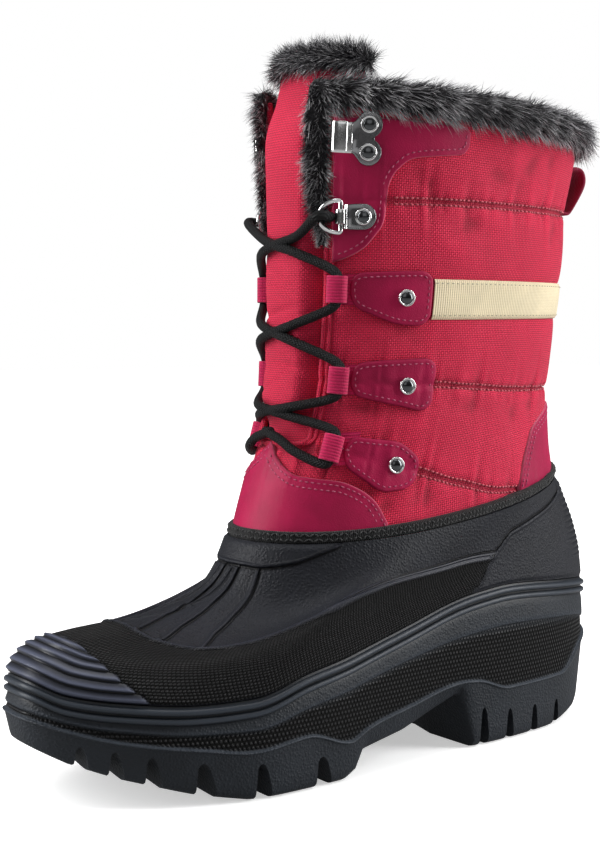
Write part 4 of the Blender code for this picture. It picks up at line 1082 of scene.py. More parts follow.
def build_shell():
    turns = np.concatenate([np.linspace(0, 30, 30)[:-1], np.linspace(30, 130, 90)[:-1],
                            np.linspace(130, 180, 136)])
    angles = np.concatenate([turns, 360 - turns[-2:0:-1]])
    levels = np.concatenate([np.linspace(0, 0.36, 76)[:-1], np.linspace(0.36, 0.60, 54)[:-1],
                             np.linspace(0.60, 1.0, 54)])
    angle, level = both(angles, levels)
    base = shell_form(angle, level)
    side = folded(angle)
    run = np.concatenate([np.zeros((len(angles), 1)),
                          np.cumsum(np.linalg.norm(np.diff(base, axis=1), axis=2), 1)], 1)
    scale = np.gradient(run, axis=1) / np.gradient(levels)[None]
    bead_off = (level - curve(PANEL_ROWS, 1, side)) * scale
    crease_angle = np.interp(level, [r[1] for r in REAR_CREASE], [r[0] for r in REAR_CREASE])
    front = ease(-0.6, 0.6, side - crease_angle)
    panel = front * (1 - ease(-0.0006, 0.0006, bead_off))
    bead_rows = np.linspace(67.2, 180, 150)
    whole = np.concatenate([bead_rows, 360 - bead_rows[-2::-1]])
    away = gap_to(base, shell_form(whole, curve(PANEL_ROWS, 1, folded(whole))))
    bead = dome(away / 0.0017) * front
    lift = 0.0010 * panel + 0.0011 * bead
    # the toe ribs: boards one above the other, each with its own slope
    cap_level = np.interp(side, [r[0] for r in TOE_CAP], [r[1] for r in TOE_CAP], left=-1.0)
    saw = (run / RIB_PITCH) % 1.0
    cap_off = (cap_level - level) * scale + 0.0011 * (saw - 0.5)
    cap = ease(-0.0003, 0.0006, cap_off) * (side > 137)
    board = (1 - saw) ** 0.8 * ease(0.0, 0.22, saw)
    lift = lift + cap * (0.0017 * board - 0.0002) - 0.0004 * bump(cap_off, 0.0005) * (side > 137.6)
    # the ridges over the vamp; step is the signed distance to the nearest step of any kind
    step = np.where(front > 0.5, 0.0021 - bead_off, 0.008)
    inside = (1 - ease(0.900, 0.915, level)) * ease(0.0004, 0.0016, bead_off)
    for rows in RIDGES:
        for way in (1, -1):
            gap = gap_to(base, shell_line(rows, way))
            turn = np.where(way > 0, angle, 360 - angle)
            at = np.interp(level, [r[1] for r in rows[::-1]], [r[0] for r in rows[::-1]])
            signed = np.where(turn > at, gap, -gap)
            lift = lift + (0.0008 * dome((signed - 0.0011) / 0.0012) - 0.0003 * bump(signed + 0.0006, 0.0006)) * inside
            near = (np.abs(signed) < np.abs(step)) & (bead_off > 0.0030) & (level < 0.915)
            step = np.where(near, signed, step)
    band_level = np.interp(side, [128, 137.9, 146.5, 155, 163.8, 180], [0.995, 0.968, 0.942, 0.926, 0.915, 0.912])
    band_off = (level - band_level) * scale
    lift = lift + ease(126, 138, side) * (0.0012 * ease(-0.0003, 0.0005, band_off)
                                          - 0.0005 * bump(band_off + 0.0006, 0.0007))
    step = np.where((np.abs(band_off) < np.abs(step)) & (side > 131), band_off, step)
    for way in (1, -1):
        gap = gap_to(base, shell_line(REAR_CREASE, way))
        here = (angle <= 180) == (way > 0)
        lift = lift - 0.0007 * bump(gap, 0.0009) * here
        near = (gap < np.abs(step)) & here & (level > 0.06) & (level < 0.93)
        step = np.where(near, np.where(side < crease_angle, gap, -gap), step)
    lift = lift + 0.0007 * (1 - front) * ease(0.0, 0.05, level) * (1 - ease(0.90, 0.97, level))
    notch = (base[..., 2] / 0.0027) % 1.0
    heel = (1 - ease(26, 38, side)) * ease(0.16, 0.24, level) * (1 - ease(0.90, 0.95, level))
    lift = lift + heel * 0.0008 * (dome(2 * notch - 1) - 0.7)
    lift = lift * ease(-0.01, 0.03, level) * (1 - ease(0.985, 1.0, level))
    points = base + normal(shell_form, angle, level) * lift[..., None] + CENTRE
    # rise is a painted highlight on the mudguard's top bead; step, board and cap place painted shade and highlights
    # along the steps and toe ribs
    marks = {"knurl": panel * (1 - cap) * (1 - bead) * ease(0.0, 0.0008, run), "rise": 0.9 * bead,
             "plain": np.clip(cap + bead + heel * 0.6, 0, 1), "step": np.clip(step, -0.006, 0.006) * 1000 + 8,
             "board": run / RIB_PITCH, "cap": cap}
    face = finish("moulded_shell_rubber", rubber, tuple(looks().shell_colour), 0.00142, 3.0)
    outer = grid_piece("shell_rubber", points, [face], closed=True, marks=marks)
    settle(outer, ["shell"])
    angle, level = both(np.arange(120) * 3.0, np.concatenate([[1.0], np.linspace(1.0, 0.0, 40)]))
    depth = np.concatenate([[0.0, -0.0027], np.full(39, -SHELL_WALL)])
    inner = pushed(shell_form, angle, level, depth[None] + 0 * angle) + CENTRE
    lining = grid_piece("shell_inside", inner, [face], closed=True, marks={"plain": np.ones(angle.size)})
    settle(lining)


def build_insole():
    angles = np.arange(120) * 3.0
    plan = outline(angles, -FOOTBED_INSET - 0.0012)
    y = outline(angles)[:, 1]
    rows = [(share, 0.0050 - 0.0014 * share**6) for share in np.linspace(0.02, 1.0, 14)] + [(1.0, 0.0005)]
    points = [np.concatenate([plan * share, (height(FOOTBED, y * share) + lift)[:, None]], 1) for share, lift in rows]
    felt = finish("felt_pile", pile, 1.6)
    item = grid_piece("insole_felt", np.stack(points, 1) + CENTRE, [felt], closed=True, flip=True)
    settle(item, ["insole"])


def shaft_grid(columns, front_columns, rows, edge_row):
    """Angles and levels all round the shaft, and a mask that leaves the throat open."""
    wall = np.linspace(0, THROAT, columns)
    front = np.linspace(THROAT, 360 - THROAT, front_columns)[1:-1]
    angle, level = both(np.concatenate([wall, front, 360 - wall[:0:-1]]), np.linspace(0.0, 1.0, rows))
    keep = np.ones(angle.shape, bool)
    keep[columns - 1:columns + len(front), edge_row:] = False
    return angle, level, keep


def build_shaft():
    rows = 176
    edge_row = int(np.argmin(np.abs(np.linspace(0.0, 1.0, rows) - 0.295)))
    angle, level, keep = shaft_grid(160, 40, rows, edge_row)
    cloth = finish("quilted_nylon", nylon)
    # painted shading of the quilting: the relief against a smoothed copy of itself marks the creases to be painted
    # darker and the ridges to be painted lighter
    relief = soft = puff(angle, level)
    for _ in range(24):
        wide = np.pad(soft, 1, mode="edge")
        soft = (wide[:-2, 1:-1] + wide[2:, 1:-1] + wide[1:-1, :-2] + wide[1:-1, 2:]) / 4
    painted_valley_shading = np.clip((soft - relief) / 0.00055, -1, 1)
    outer = grid_piece("shaft_cloth", skin(angle, level), [cloth], closed=True, keep=keep, marks={"painted_valley_shading": painted_valley_shading})
    settle(outer, ["shaft"])
    angle, level, keep = shaft_grid(50, 12, 45, 13)
    inner = pushed(shaft_form, angle, level, -SHAFT_WALL) + CENTRE
    lining = grid_piece("shaft_lining", inner, [finish("lining_pile", pile, 1.1)], closed=True, keep=keep, flip=True)
    settle(lining)
    corner = edge_row / (rows - 1)
    bend = np.linspace(0.1, 1, 8)
    cords = []
    for k, (turn, size, drop) in enumerate(((THROAT + 0.2, 0.00145, -0.0009), (THROAT - 3.0, 0.0008, 0.0001))):
        a = np.concatenate([np.full(120, turn), mix(turn, turn + 5, bend), np.linspace(turn + 6, 180, 12)])
        v = np.concatenate([np.linspace(1.0, corner + 0.012, 120), corner + 0.012 * (1 - bend) ** 2,
                            np.full(12, corner)])
        for side in (1, -1):
            path = skin(a if side > 0 else 360 - a, v, drop)
            cords.append(tube_piece(f"throat_piping_{k}_{side}", path, size, 10, cloth))
    settle(join("throat_piping", cords))


def build_tongue():
    around = np.concatenate([[133.0, 134.5, 137.0], np.linspace(140, 220, 108), [223.0, 225.5, 227.0]])
    angle, level = both(around, np.linspace(0.16, 1.06, 150))
    middle = ease(150, 163, folded(angle))
    swell = 0.0009 * middle * (1 - ease(0.93, 1.0, level)) - 0.0007 * middle
    for low, high, full in ((0.34, 0.455, 1.0), (0.455, 0.56, 1.0), (0.56, 0.70, 1.0), (0.70, 0.98, 0.6)):
        t = np.clip((level - low) / (high - low), 0, 1)
        swell += 0.0010 * middle * (4 * t * (1 - t)) ** 0.6 * full
    for at, turn, slope, width, depth in TONGUE_CREASES:
        off = level - at - slope * (angle - turn)
        swell -= depth * bump(off, width) * bump(angle - turn, 17) * middle
    edge = np.minimum(np.abs(angle - 133), np.abs(227 - angle))
    thick = TONGUE_THICKNESS * (0.40 + 0.60 * ease(0, 14, edge))
    level = level - 0.13 * (1 - ease(2, 19, edge)) * ease(0.80, 1.06, level)
    ring = np.concatenate([tongue_point(angle, level, swell), tongue_point(angle, level, -thick)[::-1]], 0)
    item = grid_piece("tongue_cloth", ring, [finish("quilted_nylon", nylon)], closed=True, outward=True)
    settle(item, ["tongue"])


def rim_of(grid):
    """The border of a grid, all the way round."""
    return np.concatenate([grid[:, 0], grid[-1, 1:], grid[-2::-1, -1], grid[0, -2::-1]], 0)


def overlay(name, table, wall, face, corner=0.0, side=1, around=False, columns=90, rows=26, bevel=0.0009):
    """A sewn-on leather piece from a table of angle, low and high level; returns it with its border."""
    table = sorted(table)
    first, last = table[0][0], table[-1][0]
    t = np.linspace(0, 1, columns)
    if corner:
        t = 0.5 - 0.5 * np.cos(np.pi * t)
    turns = first + (last - first) * t
    low, high = curve(table, 1, turns), curve(table, 2, turns)
    for end in (first, last) if corner else ():
        d = np.abs(turns - end) * DEGREE_MM * 0.001
        pull = np.where(d < corner, corner - np.sqrt(np.maximum(corner**2 - (corner - d) ** 2, 0)), 0.0)
        low, high = low + pull / LEVEL_MM * 1000, high - pull / LEVEL_MM * 1000
    if around and last > 179:
        turns, low, high = [np.concatenate([a, b[-2::-1]]) for a, b in (
            (turns, 360 - turns), (low, low), (high, high))]
    elif around:
        turns, low, high = [np.concatenate([b[:0:-1], a]) for a, b in (
            (turns + 360, 360 - turns), (low, low), (high, high))]
    elif side < 0:
        turns = 360 - turns + MEDIAL_TURN
    share = 0.5 - 0.5 * np.cos(np.pi * np.linspace(0, 1, rows))
    angle = np.repeat(turns[:, None], rows, 1)
    level = low[:, None] + (high - low)[:, None] * share[None]
    flat = under(angle, level, OVERLAY_GAP)
    edge = gap_to(flat, rim_of(flat))
    points = np.pad(under(angle, level, OVERLAY_GAP - 0.0006), ((1, 1), (1, 1), (0, 0)), mode="edge")
    points[1:-1, 1:-1] = under(angle, level, OVERLAY_GAP + wall * (0.35 + 0.65 * rounded(edge, bevel)))
    item = grid_piece(name, points, [face], marks={"edge": np.pad(edge * 1000, 1)}, outward=True)
    return item, (rim_of(flat), rim_of(angle), rim_of(level), wall)


def seam_rows(border, inset, pitch, keep=None, double=0.0):
    """Places of the stitches in one row, or two, at an inset from a leather piece's border."""
    path, angle, level, wall = border
    away = normal(shaft_form, angle, np.clip(level, 0.02, 0.98))
    run = lengths(path)
    fresh = np.linspace(0, run[-1], int(run[-1] / 0.0004))
    path, away = sampled(fresh, run, path), unit(sampled(fresh, run, away))
    angle, level = np.interp(fresh, run, angle), np.interp(fresh, run, level)
    inward = unit(np.cross(away, unit(np.gradient(path, axis=0))))
    if np.sum((path.mean(0) - path) * inward) < 0:
        inward = -inward
    found = []
    for off in (inset, inset + double) if double else (inset,):
        moved = path + inward * off
        good = gap_to(moved, path) > off * 0.93
        if keep is not None:
            good &= keep(angle, level)
        moved = moved + away * wall
        order = np.roll(np.arange(len(moved)), -int(np.argmin(good)))
        order = order[good[order]]
        found.append(spaced(moved[order], away[order], pitch))
    return found


def build_overlays():
    look = looks()
    face = finish("magenta_leather_face", leather, tuple(look.leather_edge_colour))
    rows = []
    for name, table, columns, node_name in (("vamp_leather", VAMP_ROWS, 90, "vamp_overlay"),
                                            ("heel_leather", COUNTER_ROWS, 70, "heel_counter")):
        item, edge = overlay(name, table, OVERLAY_WALL, face, around=True, columns=columns, rows=40)
        settle(item, [node_name])
        rows += seam_rows(edge, 0.0020, 0.0026, lambda a, v: v > 0.133, double=0.0026)
    for side, word in SIDES:
        item, edge = overlay(f"eyestay_leather_{word}", EYESTAY_ROWS, OVERLAY_WALL, face, side=side,
                             columns=130, rows=70)
        settle(item, [f"eyestay_{word}"])
        rows += seam_rows(edge, 0.0026, 0.0027, lambda a, v, w=side: (
            ((a < 152.0) if w > 0 else (a > 360 - 152.0 + MEDIAL_TURN)) & (v < 0.958)))
    thread = finish("pink_thread", sewing, tuple(look.thread_colour))
    settle(stitches("leather_stitches", rows, 0.00185, 0.00060, 0.00062, thread))
    back = np.concatenate([np.linspace(110.3, 0, 130), np.linspace(0, -110.3 + MEDIAL_TURN, 120)[1:]])
    share = np.linspace(0, 1, 13)
    angle, level = both(back, 0.550 + 0.085 * share)
    flat = rounded(np.minimum(share, 1 - share) * 0.0155, 0.0006)
    points = under(angle, level, OVERLAY_GAP + 0.0011 * (0.3 + 0.7 * flat)[None])
    low = under(angle, level, -0.0003)
    belt = finish("beige_belt", webbing, tuple(look.belt_colour), 0.0011, 0.66)
    strip = grid_piece("belt_webbing", np.concatenate([low[:, :1], points, low[:, -1:]], 1), [belt], outward=True)
    settle(strip, ["side_strip"])
    rows = [spaced(under(back, at, OVERLAY_GAP + 0.0012), normal(shaft_form, back, at), 0.0026)
            for at in (0.5585, 0.6265)]
    thread = finish("sand_thread", sewing, shade(tuple(look.belt_colour), 0.80))
    settle(stitches("belt_stitches", rows, 0.0013, 0.00045, 0.0004, thread))


def build_quilting():
    """Two rows of raised stitches along each quilting seam."""
    rows = []
    for k, (last, other, start) in enumerate(((127.0, 129.0, -1.0), (111.5, 113.5, -1.0), (107.5, 110.0, 64.5))):
        turns = np.concatenate([np.linspace(last, 0, 260), -np.linspace(0, other - MEDIAL_TURN, 240)[1:]])
        turns = turns[folded(turns) > start]
        for off in (-1.2, 1.2):
            level = curve(SEAM_ROWS, k + 1, folded(turns)) + off / LEVEL_MM
            places, ahead, away = spaced(skin(turns, level, 0.00005), normal(shaft_form, turns, level), 0.00235)
            lean = unit(np.cross(away, ahead)) * math.copysign(0.14, off)
            rows.append((places, unit(ahead + lean), away))
    thread = finish("crimson_thread", sewing, mix(np.array(looks().cloth_colour), 1.0, 0.06) * 1.2)
    settle(stitches("quilt_stitches", rows, 0.00222, 0.00095, 0.00095, thread))


def build_tape():
    angles = np.arange(300) * 1.2
    share = np.linspace(0, 1, 13)
    a, v = both(angles, 0.1035 + 0.0275 * share)
    edge = rounded(np.minimum(share, 1 - share) * 0.0055, 0.0010)
    inner = OVERLAY_GAP + OVERLAY_WALL + 0.0004
    ripple = 0.00012 * np.sin(np.radians(a) * 67) + 0.0001 * np.sin(np.radians(a) * 31 + 1.0)
    points = under(a, v, inner + 0.0013 * (0.25 + 0.75 * edge)[None] + ripple)
    low = under(a, v, OVERLAY_GAP)
    tuck = under(angles, 0.0985, inner + 0.0002)[:, None]
    colour = tuple(looks().tape_colour)
    item = grid_piece("binding_tape_weave", np.concatenate([tuck, points, low[:, -1:]], 1),
                      [finish("black_tape_weave", webbing, colour, 0.0009, 0.3)], closed=True)
    settle(item, ["binding_tape"])
    rows = []
    turns = np.linspace(0, 360, 900)
    for at, swing in ((0.1110, 0.62), (0.1235, -0.62)):
        places, ahead, away = spaced(under(turns, at, inner + 0.0013), normal(shaft_form, turns, at), 0.0021)
        swing = np.where(np.arange(len(places)) % 2 == 0, swing, -swing)[:, None]
        rows.append((places, unit(ahead + unit(np.cross(away, ahead)) * swing), away))
    thread = finish("black_thread", sewing, shade(colour, 2.2))
    settle(stitches("tape_stitches", rows, 0.0024, 0.00070, 0.0008, thread))


def rivet_head(name, place, front, up, away, radius=0.0038, rise=0.0022):
    """A round rivet spun from a bright rim and a domed hollow within it in the darker metal, which paints the dome's
    dark reflection.
    """
    profile = [(radius * r, rise * z) for r, z in ((1, 0), (1, 0.30), (0.985, 0.52), (0.94, 0.68), (0.87, 0.76),
                                                   (0.79, 0.70), (0.70, 0.46))]
    for share in (0.92, 0.80, 0.62, 0.42, 0.20, 0.02):
        profile.append((radius * 0.70 * share, rise * (0.46 + 0.50 * math.sqrt(1 - share**2) + 0.02)))
    turn = np.linspace(0, 2 * np.pi, 41)[:-1, None]
    spokes = front * np.cos(turn) + up * np.sin(turn)
    points = np.array([[place + spoke * r + away * z for r, z in profile] for spoke in spokes])
    item = grid_piece(name, points, metals(), closed=True, outward=True)
    item.data.polygons.foreach_set("material_index", ([0] * 6 + [1] * 6) * len(spokes))
    return item


def ring_strip(name, place, front, up, away, outside, inside, width, material, bevel=0.00025):
    """A closed strap round an oval opening, with softened edges; its UV runs round it and across it."""
    half = width / 2
    edge = half - bevel
    near, far = mix(outside, inside, 0.2), mix(outside, inside, 0.8)
    sections = [(outside, -edge), (outside, -half * 0.5), (outside, half * 0.5), (outside, edge), (near, half),
                (far, half), (inside, edge), (inside, -edge), (far, -half), (near, -half), (outside, -edge)]
    points = np.stack([place + shape[:, :1] * front + shape[:, 1:] * away + up * lift for shape, lift in sections], 1)
    run = lengths(np.concatenate([outside, outside[:1]], 0))
    uv = np.stack(both(run, np.array([lift + half for shape, lift in sections]))[::-1], -1)
    return grid_piece(name, points, [material], uv, closed=True, outward=True)


def oval(centre, reach, rise, count, power=2.0):
    turn = 2 * np.pi * (np.arange(count) + 0.5) / count
    return np.stack([centre[0] + reach * signed_power(np.cos(turn), 2 / power),
                     centre[1] + rise * signed_power(np.sin(turn), 2 / power)], -1)


def build_tabs():
    look = looks()
    colour = tuple(look.leather_colour)
    face = finish("tab_leather", leather, shade(colour, 0.42))
    strap = finish("loop_webbing", webbing, shade(colour, 1.35), 0.0013, 0.45)
    wall = 0.0020
    reach = LOOP_LENGTH / 2
    rise = LACE_DIAMETER / 2 + LOOP_WALL + LOOP_PLAY
    outside = oval((0, rise), reach, rise, 40, 2.8)
    inside = oval((0, rise), reach - LOOP_WALL, rise - LOOP_WALL, 40, 2.8)
    # the loop's tail lies flat below the tab
    forward, upward = both(np.linspace(-0.0008, -0.0100, 12), np.linspace(-LOOP_HEIGHT / 2, LOOP_HEIGHT / 2, 9))
    tail_uv = np.stack([upward + LOOP_HEIGHT / 2, forward], -1)
    rows = []
    for side, word in SIDES:
        for k, table in enumerate(TAB_ROWS):
            spot = f"{word}_{k + 1}"
            item, edge = overlay(f"tab_leather_{spot}", table, wall, face, corner=0.0048, side=side, columns=64,
                                 rows=34, bevel=0.0011)
            settle(item, [f"tab_{spot}"])
            rows += seam_rows(edge, 0.0022, 0.0027)
            rivet = rivet_head(f"rivet_head_{spot}", *seat(*RIVET_SPOTS[k], OVERLAY_GAP + wall, side))
            settle(rivet, [f"rivet_{spot}"])
            loop = ring_strip(f"loop_webbing_{spot}", *seat(*LOOP_SPOTS[k], OVERLAY_GAP + GAP, side), outside,
                              inside, LOOP_HEIGHT, strap)
            turn = LOOP_SPOTS[k][0] + forward / DEGREE_MM * 1000
            turn = turn if side > 0 else 360 - turn + MEDIAL_TURN
            flat = under(turn, LOOP_SPOTS[k][1] + upward / LEVEL_MM * 1000, OVERLAY_GAP + 0.0012)
            tail = grid_piece(f"tail_{spot}", flat, [strap], tail_uv, flip=side < 0)
            settle(join(f"loop_webbing_{spot}", [loop, tail]), [f"webbing_loop_{spot}"])
    thread = finish("pink_thread", sewing, tuple(look.thread_colour))
    settle(stitches("tab_stitches", rows, 0.00175, 0.00058, 0.0006, thread))


def flat_plate(name, place, front, up, away, shape, wall):
    """A thin plate with a rolled rim, from its outline in the plane of front and up."""
    shape = np.array(shape)
    centre = shape.mean(0)
    rim = min(1.0, 0.0055 / np.linalg.norm(shape - centre, axis=1).mean())
    rings = []
    for share, lift in ((1.0, 0.0), (1.0, 0.7), (1 - 0.03 * rim, 1.05), (1 - 0.07 * rim, 1.20),
                        (1 - 0.12 * rim, 1.05), (1 - 0.16 * rim, 0.88), (0.6, 0.88), (0.3, 0.9), (0.002, 0.9)):
        ring = centre + (shape - centre) * share
        rings.append(place + ring[:, :1] * front + ring[:, 1:] * up + away * lift * wall)
    face = finish("plate_metal_face", metal, (0.30, 0.30, 0.31), 0.16)
    return grid_piece(name, np.stack(rings, 1), [face], closed=True, outward=True)


def lobe(x, y, radius, start, end, count):
    """Points on an arc."""
    turns = np.radians(np.linspace(start, end, count))
    return [(x + radius * math.cos(turn), y + radius * math.sin(turn)) for turn in turns]


def build_ring(side, word, bright):
    barrel = RING_WIRE / 2 + GAP
    place, front, up, away = seat(*RING_SPOT, METAL_LIFT + barrel + PLATE_WALL, side)
    half = RING_SPAN / 2
    bend = [place + up * half * share for share in (0.55, 0.92)]
    for turn in np.linspace(0, math.pi, 13):
        reach = front * (0.0010 + RING_REACH * math.sin(turn))
        bend.append(place + up * half * math.cos(turn) + reach + away * 0.0012 * math.sin(turn))
    bend += [place + up * half * share for share in (-0.92, -0.55, -0.15, 0.15, 0.55)]
    grid = tube_points(smooth_path(bend, 0.0007)[:-1], RING_WIRE / 2, 14, first=away)
    ring = grid_piece(f"d_ring_wire_{word}", np.concatenate([grid, grid[:1]], 0), [bright], outward=True)
    settle(ring, [f"d_ring_{word}"])
    parts = []
    for name, x, y, wide, tall, wall, width, count in (
            ("barrel", 0, 0, barrel + PLATE_WALL, barrel + PLATE_WALL, PLATE_WALL, 0.0062, 28),
            ("ridge", -0.0024, -0.0006, 0.0009, 0.0019, 0.0005, 0.0104, 20)):
        parts.append(ring_strip(f"{name}_{word}", place, front, up, away, oval((x, y), wide, tall, count),
                                oval((x, y), wide - wall, tall - wall, count), width, bright))
    floor = -(barrel + PLATE_WALL)
    tail = lobe(-0.0095, 0.0, 0.0055, 90, 270, 24)
    tail += [(-0.0060, -0.0055), (-0.0028, -0.0053), (-0.0010, -0.0050), (-0.0008, 0.0), (-0.0010, 0.0050),
             (-0.0028, 0.0053), (-0.0060, 0.0055)]
    parts.append(flat_plate(f"plate_{word}", place + away * floor, front, up, away, tail, PLATE_WALL))
    knob = place - front * 0.0096 + away * (floor + PLATE_WALL * 0.8)
    parts.append(rivet_head(f"knob_{word}", knob, front, up, away, 0.0037))
    settle(join(f"ring_plate_{word}", parts), [f"d_ring_plate_{word}"])


def build_hook(side, word, bright):
    place, front, up, away = seat(*HOOK_SPOT, METAL_LIFT, side)
    shape = lobe(-0.0004, 0.0058, 0.0056, 55, 243, 26) + lobe(-0.0004, -0.0058, 0.0056, 117, 305, 26)
    shape += [(0.0044, -0.0084), (0.0058, -0.0068), (0.0072, -0.0062), (0.0084, -0.0060), (0.0084, 0.0),
              (0.0084, 0.0060), (0.0072, 0.0062), (0.0058, 0.0068), (0.0044, 0.0084)]
    parts = [flat_plate(f"hook_plate_{word}", place, front, up, away, shape, PLATE_WALL)]
    for way in (1, -1):
        knob = place + up * 0.0058 * way - front * 0.0004 + away * PLATE_WALL * 0.75
        parts.append(rivet_head(f"hook_knob_{word}_{way}", knob, front, up, away))
    bend = smooth_path([(0.0066, 0.0007), (0.0110, 0.0008), (0.0138, 0.0014), (0.0152, 0.0032),
                        (0.0140, 0.0050), (0.0112, 0.0056), (0.0088, 0.0053)], 0.0006)
    along = unit(np.gradient(bend, axis=0))
    out = np.stack([-along[:, 1], along[:, 0]], -1) * 0.0005
    section = np.concatenate([bend - out, (bend + out)[::-1]], 0)
    middle = np.concatenate([bend, bend[::-1]], 0)
    rows = []
    for width, share in ((-0.0064, 0.55), (-0.0062, 0.85), (-0.0052, 1.0), (0.0, 0.94), (0.0052, 1.0),
                         (0.0062, 0.85), (0.0064, 0.55)):
        row = mix(middle, section, share)
        rows.append(place + row[:, :1] * front + row[:, 1:] * away + up * width)
    parts.append(grid_piece(f"hook_bend_{word}", np.stack(rows, 1), [bright], closed=True, outward=True))
    settle(join(f"hook_metal_{word}", parts), [f"speed_hook_{word}"])


def build_pull_loop():
    place, front, up, away = seat(9.0, 0.890, OVERLAY_GAP * 2, 1)
    wall = 0.0014
    shapes = [oval((0, PULL_REACH), PULL_HEIGHT / 2 - off, PULL_REACH - off, 72, 2.6) for off in (0.0, wall)]
    for shape in shapes:
        shape[:, 1] *= mix(0.62, 1.0, ease(-PULL_HEIGHT / 2, PULL_HEIGHT / 3, shape[:, 0]))
    strap = finish("pull_webbing", webbing, shade(tuple(looks().leather_colour), 0.9), 0.0013, 0.5)
    item = ring_strip("pull_strap", place, up, front, away, *shapes, PULL_WIDTH, strap)
    settle(item, ["pull_loop"])


def over_front(angle, level, lift):
    """A place over the tongue or the throat's edge, whichever stands out further."""
    inner = tongue_point(angle, level, lift)
    outer = pushed(shaft_form, angle, level, OVERLAY_GAP + lift) + CENTRE
    return inner if inner[1] < outer[1] else outer


def lace_stops(side):
    """The lace from one ring down to the bar across the tongue's foot, close over the tongue."""
    hold = OVERLAY_GAP + GAP + LACE_DIAMETER / 2 + LOOP_WALL + LOOP_PLAY
    clear = LACE_DIAMETER / 2 + LACE_CLEAR
    place, front, up, away = seat(*RING_SPOT, METAL_LIFT + GAP + RING_WIRE / 2 + PLATE_WALL, side)
    stops = [place + front * (RING_REACH * 0.56 + forward) + away * lift
             for forward, lift in ((0.0, -0.0012), (0.0, 0.0022), (0.0045, 0.0060))]
    way = side
    level = RING_SPOT[1]
    rise = LOOP_HEIGHT / 2 + 0.0016
    for k in range(3):
        start = level - (0.020 if k == 0 else 0.050)
        level = LOOP_SPOTS[k][1]
        for share, turn in ((0.26, 12.5), (0.5, 0), (0.74, -12.5)):
            stops.append(over_front(180 - turn * way, mix(start, level + 0.055, share), clear))
        way = -way
        place, front, up, away = seat(*LOOP_SPOTS[k], hold, way)
        stops += [place + up * rise + front * 0.0010 + away * 0.0012, place,
                  place - up * rise + front * 0.0010 + away * 0.0010]
    for turn, level in ((20, 0.278), (10, 0.300), (-1.5, 0.316)):
        stops.append(over_front(180 - turn * way, level, clear))
    return stops


def build_lace():
    cord = finish("braided_lace", braid)
    parts = [tube_piece(f"lace_half_{side}", smooth_path(lace_stops(side), 0.0013), looks().lace_width / 2, 14, cord)
             for side, word in SIDES]
    settle(join("lace_cord", parts), ["lace"])


def fur_stations():
    """Edge place, outward, away, heelward and sizes of the fur trim's section along the whole collar."""
    stops = [(THROAT, level, 0.0) for level in (0.705, 0.745, 0.785, 0.830, 0.865, 0.900, 0.935, 0.970)]
    stops += [(THROAT, 1.0, 45.0), (THROAT - 2.4, 1.0, 90.0)]
    angle = THROAT - 9
    while angle > 0:
        stops.append((angle, 1.0, 90.0))
        angle -= 9.8
    whole = [(*stop, 1) for stop in stops] + [(*stop, -1) for stop in reversed(stops)]
    rows = []
    for k, (angle, level, lean, side) in enumerate(whole):
        spot = angle if side > 0 else 360 - angle
        # 0 on the throat's edge, 1 on the collar
        top = ease(0, 90, lean)
        throat = (0.0090, 0.20, 0.85, 0.82) if side > 0 else (0.0052, 0.8, 0.8, 0.6)
        depth, flat, thick, long = [mix(a, b, top) for a, b in zip(throat, (0.0086, 1.0, 1.0, 1.0))]
        size = 0.30 + 0.70 * ease(-1, 4, min(k, len(whole) - 1 - k))
        edge = under(spot, level - 0.012 * ease(30, 90, lean), mix(0.0009, 0.0002, top))
        away = normal(shaft_form, spot, min(level, 0.98))
        up = unit(shaft_form(spot, level) - shaft_form(spot, level - 0.04))
        front = unit(np.cross(up, away)) * -side
        turn = math.radians(lean)
        tilt = math.radians(30) * (1 - top)
        out = (front * math.cos(turn) + up * math.sin(turn)) * np.cos(tilt) + away * np.sin(tilt)
        inside = mix(0.10, mix(1.0, 0.3, ease(118, 134, angle)), top)
        rows.append(np.concatenate([edge + out * OVERLAY_GAP * 1.4, out, away, -front, [
            depth * size, 0.0085 * size * thick, flat, inside, mix(0.15, 0.75, top), size * long]]))
    rows = np.array(rows)
    fine = np.linspace(0, len(rows) - 1, (len(rows) - 1) * 8 + 1)
    i = np.clip(fine.astype(int), 0, len(rows) - 2)
    return catmull(rows[np.maximum(i - 1, 0)], rows[i], rows[i + 1], rows[np.minimum(i + 2, len(rows) - 1)],
                   (fine - i)[:, None])


def section_places(rows, share):
    """Points of the fur's section and the outward lean there, for stations and shares round it."""
    spots = np.array(FUR_SECTION + FUR_SECTION[:1])
    rise, lift = np.moveaxis(sampled(share * (len(spots) - 1), np.arange(len(spots)), spots), -1, 0)
    rise = np.where(rise > 0, rise, rise * rows[..., 14])
    lift = np.where(lift < 0, lift * rows[..., 15], np.where(lift < 0.1, lift, lift * rows[..., 14]))
    out, away = rows[..., 3:6], rows[..., 6:9]
    place = rows[..., :3] + out * (rise * rows[..., 12])[..., None] + away * (lift * rows[..., 13])[..., None]
    lean = np.stack([rise - 0.25, lift], -1)
    lean = lean / np.maximum(np.linalg.norm(lean, axis=-1, keepdims=True), 1e-6)
    return place, out * lean[..., :1] + away * lean[..., 1:], lift


def ended(grid):
    """A grid of open rows closed on itself, with each end drawn to its middle."""
    whole = np.concatenate([grid, grid[:, :1]], 1)
    caps = [np.repeat(row.mean(0)[None, None], whole.shape[1], 1) for row in (grid[0], grid[-1])]
    return np.concatenate([caps[0], whole, caps[1]], 0)


def noise_1d(dice, x, step):
    """Smooth noise between -1 and 1 along a number."""
    values = dice.uniform(-1, 1, int(np.max(x) / step) + 3)
    at = x / step
    i = at.astype(int)
    return mix(values[i], values[i + 1], ease(0, 1, at - i))


